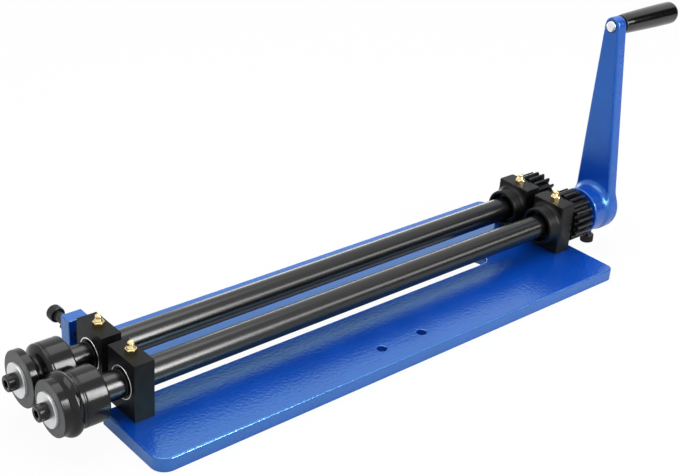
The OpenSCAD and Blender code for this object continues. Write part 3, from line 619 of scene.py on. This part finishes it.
def boreRim():  # the bright turned rim round a front block's bore
    b = frontBlock
    return [(-b["rimStand"], b["rimInner"], 0.3), (-b["rimStand"], b["rimOuter"], 0.4),
            (b["rimDepth"], b["rimOuter"], 0), (b["rimDepth"], b["rimInner"], 0.05)]


for side, y in sides.items():
    seat = (0, y, axisZ)
    finished(side + "RearCasting", rearSkin(side, y), side + "_rear_block")
    finished(side + "FrontBlock", softened(side + "_front_block", frontBlock["edge"]), side + "_front_block")
    rim = turnedMesh(side + "BoreRim", boreRim(), seat, closed=True)
    finished(side + "BoreRim", rim, side + "_front_block", "axle_steel", stands=False)
    for place in ("front", "rear"):
        bore = bush["tiltBore"] if (side, place) == ("driven", "front") else bush["bore"]
        tube = ringCorners(*bush[place], bore, bush["outer"], bush["edge"])
        finished(side + place.title() + "Bush", turnedMesh(side + place, tube, seat, closed=True),
                 f"{side}_{place}_bush")

bracket = {"length": 18, "back": 65.6, "front": 52.8, "top": 51.3, "upright": 0.9, "topEdge": 0.8,
           "bore": 4.05, "step": 0.5, "searchLow": (-1, 51.5, 10.5), "searchHigh": (19, 67, 53)}


def bracketField(p):
    b = bracket
    x, y, z = p.T
    middle, halfDeep = (b["front"] + b["back"]) / 2, (b["back"] - b["front"]) / 2
    wall = roundedBox(x - b["length"] / 2, y - middle, b["length"] / 2, halfDeep, b["upright"])
    wall = roundMeet(wall, z - b["top"], b["topEdge"])
    wall = roundMeet(wall, plate["top"] - z, 0.3)
    return roundMeet(wall, b["bore"] - np.hypot(x - frontX, z - axisZ), 0.5)


skin = castSkin("adjusterBracket", bracket["searchLow"], bracket["searchHigh"], bracket["step"], bracketField)
finished("adjusterBracket", skin, "adjuster_bracket")

nippleShape = [(0, 0, 0, 4.2), (0, 4.6, 0, 4.2), (0.4, 4.85, 0, 4.2), (3.1, 4.85, 0, 4.2), (3.6, 4.3, 0, 4.2),
               (3.7, 3.7, 0.1, 0), (4.6, 3.5, 0.4, 0), (6.4, 2.75, 0.4, 0), (7.0, 2.6, 0.3, 0),
               (7.5, 2.8, 0.3, 0), (8.6, 2.6, 0.6, 0), (9.5, 1.7, 0.5, 0), (9.75, 1.1, 0.2, 0),
               (9.75, 0.7, 0.1, 0), (9.3, 0.55, 0, 0), (9.3, 0, 0, 0)]  # hexagon, cone and a small round head
upright = Matrix.Rotation(math.radians(-90), 4, "Y")
for side, y in sides.items():
    for place, x, top in (("front", frontX, frontBlock["top"]), ("rear", rearX, rearBlock["top"])):
        mesh = turnedMesh(side + place + "Nipple", nippleShape, (x, y, top), upright, 48, sharp=28)
        finished(side + place.title() + "Nipple", mesh, f"{side}_{place}_nipple")
print("blocks ready")

# Shafts, dies and what is turned on the shafts' line
shaft = {"spigotEnd": -21, "seatStart": 487.1, "back": {"drive": 554.3, "driven": 514.8},
         "radius": 11, "spigot": 8, "seat": 10, "centre": 2.2, "ease": 0.35,
         "grooveX": 510.4, "grooveWidth": 1.22, "grooveDepth": 0.7}


def shaftCorners(side):
    s = shaft
    nose, back = machine["shaftNose"], s["back"][side]
    corners = [(nose, 0, 0), (nose, s["spigot"], 0.5), (s["spigotEnd"], s["spigot"], 0),
               (s["spigotEnd"], s["radius"], s["ease"]), (s["seatStart"], s["radius"], s["ease"]),
               (s["seatStart"], s["seat"], 0)]
    if side == "driven":  # the retaining ring's groove behind the gear
        start, stop, floor = s["grooveX"], s["grooveX"] + s["grooveWidth"], s["seat"] - s["grooveDepth"]
        corners += [(start, s["seat"], 0.05), (start, floor, 0), (stop, floor, 0), (stop, s["seat"], 0.05)]
    return corners + [(back - 1, s["seat"], 0.3), (back, s["seat"] - 1, 0.2), (back, s["centre"], 0.05),
                      (back - s["centre"], 0, 0)]


for side, y in sides.items():
    mesh = turnedMesh(side + "Shaft", shaftCorners(side), (0, y, axisZ), around=128)
    finished(side + "LongShaft", mesh, side + "_shaft")

die = {"face": -58.3, "back": -21, "land": 21.8, "flange": 22.3, "bore": 8.02,
       "bead": 11.2, "beadHalf": 5, "beadHeight": 3.1, "undercut": 0.45, "undercutGap": 2.82,
       "grooveDepth": 6.2, "grooveAhead": 5.6, "grooveBehind": 6.5}


def dieTail(d):  # hub end shared by both dies, as (along from the face, radius, ease)
    length = d["back"] - d["face"]
    cut = d["bead"] + d["beadHalf"] + d["undercutGap"]
    low = d["land"] - d["undercut"]
    return [(cut - 1.2, d["land"], 0.5), (cut - 0.4, low, 0.4), (cut + 0.4, low, 0.4),
            (cut + 1.2, d["land"], 0.5), (length, d["land"], 1.6), (length, d["bore"], 0.2)]


def beadOutline(d):
    big = (d["beadHalf"] ** 2 + d["beadHeight"] ** 2) / (2 * d["beadHeight"])
    rise = []
    for k in range(-12, 13):
        x = d["beadHalf"] * k / 12
        rise.append((d["bead"] + x, d["land"] + math.sqrt(big * big - x * x) - big + d["beadHeight"], 0))
    return [(0, d["bore"], 0.3), (0, d["land"] - 0.1, 1.0)] + rise + dieTail(d)


def grooveOutline(d):
    floor = d["flange"] - d["grooveDepth"]
    dip = []
    for k in range(-14, 15):
        t = k / 14
        rim, half = (d["flange"], d["grooveAhead"]) if t < 0 else (d["land"], d["grooveBehind"])
        dip.append((d["bead"] + half * t, floor + (rim - floor) * (1 - math.cos(math.pi * t)) / 2, 0))
    return [(0, d["bore"], 0.3), (0, d["flange"], 0.9)] + dip + dieTail(d)


rings = {"dieWasher": (-2.5, 0, 4.05, 13.75, 0.35), "thrustWasher": (487.15, 488.35, 10.05, 16, 0.2),
         "spacer": (510.42, 515.78, 10.05, 17, 0.5)}  # start, end, inner and outer radius, edge
gearEdge = 0.22

for side, kind, outline in (("drive", "bead", beadOutline(die)), ("driven", "groove", grooveOutline(die))):
    seat = (die["face"], sides[side], axisZ)
    body = turnedMesh(kind + "Die", outline, seat, around=128, closed=True, sharp=40)
    finished(kind + "Die", body, kind + "_die")
    washer = turnedMesh(kind + "Washer", ringCorners(*rings["dieWasher"]), seat, closed=True)
    finished(kind + "Washer", washer, kind + "_die_washer")

for side, y in sides.items():
    thrust = turnedMesh(side + "Thrust", ringCorners(*rings["thrustWasher"]), (0, y, axisZ), closed=True)
    finished(side + "ThrustWasher", thrust, side + "_thrust_washer")
    finished(side + "Gear", softened(side + "_gear", gearEdge), side + "_gear")
spacer = turnedMesh("crankSpacer", ringCorners(*rings["spacer"]), (0, sides["drive"], axisZ), closed=True)
finished("crankSpacer", spacer, "crank_spacer")
print("shafts and dies ready")

# Socket head screws: turned body, hex socket, knurl laid round the head by a node tree
knurl = {"count": 40, "rise": 0.28, "width": 0.62}
thread = {"pitch": 1.25, "sides": 40, "half": 0.55, "depth": 0.45, "start": 0.8}
screws = {"die": (4, 6.5, 8, 3, 28), "adjusting": (4, 6.5, 8, 3, 48.6), "crank": (4, 6.5, 8, 3, 20),
          "slide": (3, 5, 6, 2.5, 17)}  # thread radius, head radius and height, socket half width, length
capHead = {"tip": 0.8, "shankGap": 0.15, "underEdge": 0.3, "seatEdge": 0.4, "bandStart": 1.1, "bandEnd": 0.95,
           "bandInset": 0.08, "shoulder": 0.55, "shoulderInset": 0.12, "crown": 1.0, "socketDepth": 0.55,
           "mouthRound": 1.33, "mouthDepth": 0.35, "socketRound": 1.3, "drillTip": 0.6}


def knurlTree():
    tree = bpy.data.node_groups.new("knurlRound", "GeometryNodeTree")
    sockets = {}
    labels = {"Geometry": "Geometry", "Count": "Int", "Turn": "Float", "Step": "Vector", "Finish": "Material"}
    for label, kind in labels.items():
        made = tree.interface.new_socket(name=label, in_out="INPUT", socket_type="NodeSocket" + kind)
        sockets[label] = made.identifier
    tree.interface.new_socket(name="Geometry", in_out="OUTPUT", socket_type="NodeSocketGeometry")

    def add(kind, links=None, **settings):
        made = tree.nodes.new(kind)
        for key, value in settings.items():
            setattr(made, key, value)
        for key, value in (links or {}).items():
            tree.links.new(value, made.inputs[key])
        return made.outputs

    given = add("NodeGroupInput")
    index = add("GeometryNodeInputIndex")[0]
    angle = add("ShaderNodeMath", {0: index, 1: given["Turn"]}, operation="MULTIPLY")[0]
    shift = add("ShaderNodeVectorMath", {0: given["Step"], "Scale": index}, operation="SCALE")[0]
    rotation = add("ShaderNodeCombineXYZ", {"X": angle})[0]
    points = add("GeometryNodePoints", {"Count": given["Count"], "Position": shift})[0]
    copies = add("GeometryNodeInstanceOnPoints",
                 {"Points": points, "Instance": given["Geometry"], "Rotation": rotation})[0]
    real = add("GeometryNodeRealizeInstances", {"Geometry": copies})[0]
    painted = add("GeometryNodeSetMaterial", {"Geometry": real, "Material": given["Finish"]})[0]
    add("NodeGroupOutput", {0: painted})
    return tree, sockets


repeatTree, repeatSockets = knurlTree()


def repeated(name, points, faces, count, turn, step, finish):
    # copies of a small form, each turned and shifted a little further along its screw line
    mesh = bpy.data.meshes.new(name)
    mesh.from_pydata(points, [], faces)
    draft = bpy.data.objects.new(name, mesh)
    bpy.context.scene.collection.objects.link(draft)
    rows = draft.modifiers.new("rows", "NODES")
    rows.node_group = repeatTree
    for label, value in (("Count", count), ("Turn", turn), ("Step", step), ("Finish", finish)):
        rows[repeatSockets[label]] = value
    draft.update_tag()
    bpy.context.view_layer.update()
    result = bpy.data.meshes.new_from_object(draft.evaluated_get(bpy.context.evaluated_depsgraph_get()))
    bpy.data.objects.remove(draft)
    return result


def joined(meshes):
    work = bmesh.new()
    for mesh in meshes:
        work.from_mesh(mesh)
    result = bpy.data.meshes.new(meshes[0].name)
    work.to_mesh(result)
    work.free()
    return result


def headKnurl(name, wide, head, height, finish):  # ridges round a screw's head
    low, high = 0.45, height - 1.15
    inner, half = wide - 0.1, knurl["width"] / 2
    crest = half * 0.3
    ridge = [(low, inner, -half), (low, inner, half), (high, inner, half), (high, inner, -half),
             (low + 0.25, head, -crest), (low + 0.25, head, crest),
             (high - 0.1, head, crest), (high - 0.1, head, -crest)]
    ridgeFaces = [(3, 2, 1, 0), (4, 5, 6, 7), (0, 1, 5, 4), (1, 2, 6, 5), (2, 3, 7, 6), (3, 0, 4, 7)]
    turn = 2 * math.pi / knurl["count"]
    return repeated(name + "Knurl", ridge, ridgeFaces, knurl["count"], turn, (0, 0, 0), finish)


def threadRing(name, radius, count, finish):  # crests set a pitch apart along a screw
    half, low = thread["half"], radius - thread["depth"]
    ring, ringFaces = [], []
    for k in range(thread["sides"]):
        c, s = math.cos(2 * math.pi * k / thread["sides"]), math.sin(2 * math.pi * k / thread["sides"])
        ring += [(-half, low * c, low * s), (0, radius * c, radius * s), (half, low * c, low * s)]
        n = (k + 1) % thread["sides"]
        ringFaces += [(3 * k, 3 * n, 3 * n + 1, 3 * k + 1), (3 * k + 1, 3 * n + 1, 3 * n + 2, 3 * k + 2)]
    crests = repeated(name + "Thread", ring, ringFaces, count, 0.0, (-thread["pitch"], 0, 0), finish)
    crests.transform(Matrix.Translation((-thread["start"], 0, 0)))
    return crests


def capScrew(name, node, seat, turn, size, crests=0):  # its head points along the turned x axis
    radius, head, height, socket, length = size
    finish, h = finishes["screw_black"], capHead
    shank, wide = radius - h["shankGap"], head - knurl["rise"]
    floor, across = height - height * h["socketDepth"], socket * h["socketRound"]
    corners = [(-length, 0, 0, 0), (-length, radius - h["tip"], 0, 0), (h["tip"] - length, shank, 0, 0),
               (0, shank, 0, 0), (0, wide - h["underEdge"], 0.1, 0), (h["seatEdge"], wide, 0.15, 0),
               (height - h["bandStart"], wide, 0.1, 0),
               (height - h["bandEnd"], head - h["bandInset"], 0.1, 0),
               (height - h["shoulder"], head - h["shoulderInset"], 0.3, 0),
               (height, head - h["crown"], 0.3, 0), (height, socket * h["mouthRound"], 0, 0),
               (height - h["mouthDepth"], across, 0, socket),
               (floor, across, 0, socket), (floor - h["drillTip"], 0, 0, 0)]
    body = turnedForm(name, corners, 72)
    crispen(body, 32)
    parts = [body, headKnurl(name, wide, head, height, finish)]
    if crests:
        parts.append(threadRing(name, radius, crests, finish))
    whole = joined(parts)
    whole.name = name
    seated(whole, seat, turn)
    whole.materials.append(finish)
    crispShade(whole)
    return finished(name, whole, node, "screw_black")


def crispShade(mesh, sharp=30):
    work = bmesh.new()
    work.from_mesh(mesh)
    for edge in work.edges:
        edge.smooth = len(edge.link_faces) == 2 and edge.calc_face_angle(0) < math.radians(sharp)
    for face in work.faces:
        face.smooth = True
        face.material_index = 0
    work.to_mesh(mesh)
    work.free()


forward = Matrix.Rotation(math.radians(180), 4, "Z")
outward = Matrix.Rotation(math.radians(90), 4, "Z")
hang = Matrix.Rotation(math.radians(90), 4, "Y")
screwSeats = {"dieX": -60.8, "adjusterY": 85.1, "nutY": 65.6, "slideHead": 6}
for kind, side in (("bead", "drive"), ("groove", "driven")):
    seat = (screwSeats["dieX"], sides[side], axisZ)
    capScrew(kind + "Screw", kind + "_die_screw", seat, forward, screws["die"])
seat = (frontX, screwSeats["adjusterY"], axisZ)
capScrew("adjustingScrew", "adjusting_screw", seat, outward, screws["adjusting"], crests=37)
seat = (frontX, guideSlot["screwY"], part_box("slide_screw")[0].z * 1000 + screwSeats["slideHead"])
capScrew("slideScrew", "slide_screw", seat, hang, screws["slide"])
washerLow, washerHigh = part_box("slide_washer")
washer = ringCorners(washerLow.z * 1000, washerHigh.z * 1000, 3.05, (washerHigh.x - washerLow.x) * 500, 0.25)
washer = turnedMesh("slideWasher", washer, (frontX, guideSlot["screwY"], 0), upright, closed=True)
finished("slideWasher", washer, "slide_washer")

nut = {"length": 5, "bore": 4.05, "flats": 6.5, "corner": 7.4, "frontFace": 6.4, "backFace": 6.3,
       "frontEdge": 0.6, "backEdge": 0.7, "mouth": 4.6, "mouthDepth": 0.4}
end, flats = nut["length"], nut["flats"]
nutCorners = [(0, nut["bore"], 0, 0), (0, nut["frontFace"], 0, flats),
              (nut["frontEdge"], nut["corner"], 0, flats), (end - nut["backEdge"], nut["corner"], 0, flats),
              (end, nut["backFace"], 0, flats), (end, nut["mouth"], 0, 0),
              (end - nut["mouthDepth"], nut["bore"], 0, 0)]
seat = (frontX, screwSeats["nutY"], axisZ)
nutMesh = turnedMesh("lockNut", nutCorners, seat, outward, 72, closed=True, sharp=25)
finished("lockNut", nutMesh, "lock_nut")
print("screws ready")

# Crank casting with its screw, the axle and the grip
crank = {"lean": 3.5, "reach": 181, "hub": 515.8, "hubLength": 39.5, "hubFront": 22.8, "hubBack": 21,
         "hubEdge": 1.2, "hubEnd": 8, "armMiddle": 541.55, "armHalf": 6.25, "root": 21.5, "tip": 8.5,
         "armEdge": 2.3, "fillet": 6.5, "bore": 10.02, "axleBore": 4.02,
         "screwX": 535.55, "screwSeat": -29.5, "screwBore": 4.02,
         "step": 0.9, "searchLow": (514, -24.5, -24.5), "searchHigh": (557, 24.5, 190.5)}
lean = Matrix.Rotation(math.radians(-crank["lean"]), 4, "X")
crankAxis = Matrix.Translation((0, sides["drive"], axisZ)) @ lean


def crankField(p):
    c = crank
    x, y, z = p.T
    radial = np.hypot(y, z)
    far = np.clip((x - c["hub"]) / c["hubLength"], 0, 1)
    hubRadius = c["hubFront"] + (c["hubBack"] - c["hubFront"]) * far
    hub = roundMeet(radial - hubRadius, c["hub"] - x, c["hubEdge"])
    hub = roundMeet(hub, x - c["hub"] - c["hubLength"], c["hubEnd"])
    slope = (c["root"] - c["tip"]) / c["reach"]
    rise = math.sqrt(1 - slope * slope)
    side = np.abs(y)
    along = -slope * side + rise * z
    arm = side * rise + z * slope - c["root"]
    arm = np.where(along < 0, radial - c["root"], arm)
    arm = np.where(along > rise * c["reach"], np.hypot(side, z - c["reach"]) - c["tip"], arm)
    arm = roundMeet(arm, np.abs(x - c["armMiddle"]) - c["armHalf"], c["armEdge"])
    form = roundUnion(hub, arm, c["fillet"])
    form = roundMeet(form, c["bore"] - radial, 0.7)
    form = roundMeet(form, -np.maximum(np.hypot(x - c["screwX"], y) - c["screwBore"], z), 0.5)
    return roundMeet(form, c["axleBore"] - np.hypot(y, z - c["reach"]), 0.4)


skin = castSkin("crankCasting", crank["searchLow"], crank["searchHigh"], crank["step"], crankField, crankAxis)
finished("crankCasting", skin, "crank")
seat = crankAxis @ Vector((crank["screwX"], 0, crank["screwSeat"]))
capScrew("crankScrew", "crank_screw", seat, lean @ hang, screws["crank"], crests=8)

grip = {"start": 548.8, "end": 628.3, "mouth": 1.2, "inner": 9.1, "outer": 10.6, "bellyAt": 620.4,
        "endRound": 6.4, "endTurn": 68, "bore": 4.1, "headBore": 6.5, "seatAt": 621.7}
gripSeat = crankAxis @ Vector((0, 0, crank["reach"]))


def gripOutline():
    g = grip
    swellStart = g["start"] + g["mouth"]
    length, rise = g["bellyAt"] - swellStart, g["outer"] - g["inner"]
    swell = [(swellStart + length * k / 14, g["inner"] + rise * math.sin(math.pi / 2 * k / 14), 0)
             for k in range(1, 15)]
    nose = [(g["end"] - g["endRound"] * (1 - math.sin(a)), g["outer"] - g["endRound"] * (1 - math.cos(a)), 0)
            for a in [math.radians(g["endTurn"]) * k / 9 for k in range(10)]]
    return ([(g["start"], g["bore"], 0.3), (g["start"], g["inner"] - 0.6, 0.9)] + swell + nose
            + [(g["seatAt"], g["headBore"], 0), (g["seatAt"], g["bore"], 0)])


finished("grip", turnedMesh("grip", gripOutline(), gripSeat, closed=True, sharp=40), "grip")

axle = {"tail": 534.1, "tailFace": 3.6, "tailEdge": (534.6, 5.1), "armFace": 535.3, "tailRadius": 5.2,
        "radius": 4, "head": 621.8, "headRadius": 6.3, "headLength": 5, "socket": 3, "socketRound": 3.95,
        "mouthRound": 4.0, "mouthAt": 4.7, "socketFloor": 2.25, "drillTip": 1.7,
        "shadowRing": (534.95, 535.45), "shadowRingInner": 5.22, "shadowRingOuter": 5.95}


def axleOutline():  # riveted tail in the arm, plain axle, round head with a hexagon socket
    a = axle
    head, socket = a["head"], a["socket"]
    back = head + a["headLength"]
    return [(a["tail"], 0, 0, 0), (a["tail"], a["tailFace"], 0.6, 0), (*a["tailEdge"], 0.4, 0),
            (a["armFace"], a["tailRadius"], 0, 0), (a["armFace"], a["radius"], 0, 0),
            (head, a["radius"], 0, 0), (head, a["headRadius"], 0.2, 0),
            (back, a["headRadius"], 0.5, 0), (back, a["mouthRound"], 0, 0),
            (head + a["mouthAt"], a["socketRound"], 0, socket),
            (head + a["socketFloor"], a["socketRound"], 0, socket), (head + a["drillTip"], 0, 0, 0)]


# a thin black ring round the axle's riveted tail, painted shade that stands for the shadowed gap at the arm's
# face
def shadowRingOutline():
    start, end = axle["shadowRing"]
    return [(start, axle["shadowRingInner"], 0.05), (start, axle["shadowRingOuter"], 0.15),
            (end, axle["shadowRingOuter"], 0), (end, axle["shadowRingInner"], 0)]


finished("gripAxle", turnedMesh("gripAxle", axleOutline(), gripSeat, around=72), "grip_axle")
# painted shade: a black ring where the gap round the axle's tail lies in shadow
shadowRing = turnedMesh("axleShadowRing", shadowRingOutline(), gripSeat, closed=True)
finished("axleShadowRing", shadowRing, "grip_axle", "screw_black", stands=False)
print("crank ready")

# Studio: pale floor, soft lights, camera
studio = {"floorSize": 8.0, "floorDrop": 0.0002, "cameraPlace": (-392.165, -676.838, 555.906),
          "azimuth": -42.353, "elevation": 27.351, "roll": 4.139, "lens": 65.62}


def mirrorRays(finish):  # rays that see the room in gloss or through something clear
    glossy = finish.node("ShaderNodeLightPath", output="Is Glossy Ray")
    return glossy + finish.node("ShaderNodeLightPath", output="Is Transmission Ray")


def floorMaterial():
    finish = Finish("paleFloor")
    seen = finish.node("ShaderNodeLightPath", output="Is Camera Ray") * 0.95
    mirrored = mirrorRays(finish)
    speck = finish.blend(finish.noise(30, 3), (0.80, 0.80, 0.80), (0.83, 0.83, 0.83))
    matt = finish.node("ShaderNodeBsdfDiffuse", {}, {"Color": speck})
    glow = finish.node("ShaderNodeEmission", {}, {"Color": (1, 1, 1), "Strength": 1.0})
    return finish.close(finish.node("ShaderNodeMixShader", {}, [seen + mirrored * 0.3, matt, glow]))


half, floorZ = studio["floorSize"] / 2, -studio["floorDrop"]
floorCorners = [(-half, -half, floorZ), (half, -half, floorZ), (half, half, floorZ), (-half, half, floorZ)]
floorMesh = bpy.data.meshes.new("floor")
floorMesh.from_pydata(floorCorners, [], [(0, 1, 2, 3)])
floorMesh.materials.append(floorMaterial())
floor = bpy.data.objects.new("floor", floorMesh)
bpy.context.scene.collection.objects.link(floor)

room = {"skyLevel": 0.62, "mirrored": 1.1, "dark": 0.03, "darkSide": (0.82, -0.52, 0.25), "darkFrom": 0.86,
        "darkTo": 0.95}  # what gloss sees is bright, but for one dark side that gives the pieces contrast

sky = Finish("studio", world=True)
direction = sky.node("ShaderNodeTexCoord", output="Generated")
facing = sky.node("ShaderNodeVectorMath", {"operation": "DOT_PRODUCT"},
                  [direction, room["darkSide"]], output=1)
share = sky.node("ShaderNodeMapRange", {"interpolation_type": "SMOOTHSTEP"},
                 [facing, room["darkFrom"], room["darkTo"], room["mirrored"], room["dark"]])
cameraRay = sky.node("ShaderNodeLightPath", output="Is Camera Ray")
mirrorRay = mirrorRays(sky)
lit = sky.node("ShaderNodeBackground", {}, {"Color": (0.97, 0.985, 1.0), "Strength": room["skyLevel"]})
mirrored = sky.node("ShaderNodeBackground", {}, {"Color": (1, 1, 1), "Strength": share})
white = sky.node("ShaderNodeBackground", {}, {"Color": (1, 1, 1), "Strength": 1.0})
seen = sky.node("ShaderNodeMixShader", {}, [mirrorRay, lit, mirrored])
seen = sky.node("ShaderNodeMixShader", {}, [cameraRay, seen, white])
bpy.context.scene.world = sky.close(seen, "ShaderNodeOutputWorld")

lamps = {
    "keySoftbox": {"place": (0.87, -1.06, 0.70), "aim": (0.87, -0.02, 0.04), "size": (1.2, 0.34),
                   "power": 8.0},
    "topSoftbox": {"place": (-0.1, 0.25, 1.5), "aim": (0, 0, 0), "size": (1.6, 1.0), "power": 14.0},
    "rimSoftbox": {"place": (0.44, 0.55, 0.085), "aim": (0.44, 0, 0.085), "size": (0.66, 0.15), "power": 1.1,
                   "glossOnly": True},
    "dieSoftbox": {"place": (0.275, -1.06, 0.78), "aim": (0.275, 0, 0.78), "size": (0.25, 0.9), "power": 19.0,
                   "glossOnly": True},
}
for name, lamp in lamps.items():
    light = bpy.data.lights.new(name, "AREA")
    light.shape = "RECTANGLE"
    light.size, light.size_y = lamp["size"]
    light.energy = lamp["power"]
    holder = bpy.data.objects.new(name, light)
    bpy.context.scene.collection.objects.link(holder)
    holder.location = lamp["place"]
    aim = Vector(lamp["aim"]) - Vector(lamp["place"])
    holder.rotation_euler = aim.to_track_quat("-Z", "Y").to_euler()
    holder.visible_camera = False
    holder.visible_diffuse = not lamp.get("glossOnly")

azimuth, elevation, roll = (math.radians(studio[key]) for key in ("azimuth", "elevation", "roll"))
outwards = math.cos(elevation)
back = Vector((math.sin(azimuth) * outwards, -math.cos(azimuth) * outwards, math.sin(elevation)))
right = Vector((math.cos(azimuth), math.sin(azimuth), 0))
up = back.cross(right)
tiltedRight = right * math.cos(roll) + up * math.sin(roll)
tiltedUp = up * math.cos(roll) - right * math.sin(roll)
lens = bpy.data.cameras.new("camera")
lens.sensor_fit = "HORIZONTAL"
lens.sensor_width = 36
lens.lens = studio["lens"]
lens.clip_start = 0.01
camera = bpy.data.objects.new("camera", lens)
bpy.context.scene.collection.objects.link(camera)
turned = Matrix((tiltedRight, tiltedUp, back)).transposed().to_4x4()
camera.matrix_world = Matrix.Translation(placed(*studio["cameraPlace"])) @ turned
bpy.context.scene.camera = camera
bpy.context.scene.view_settings.view_transform = "Standard"
print("studio ready")
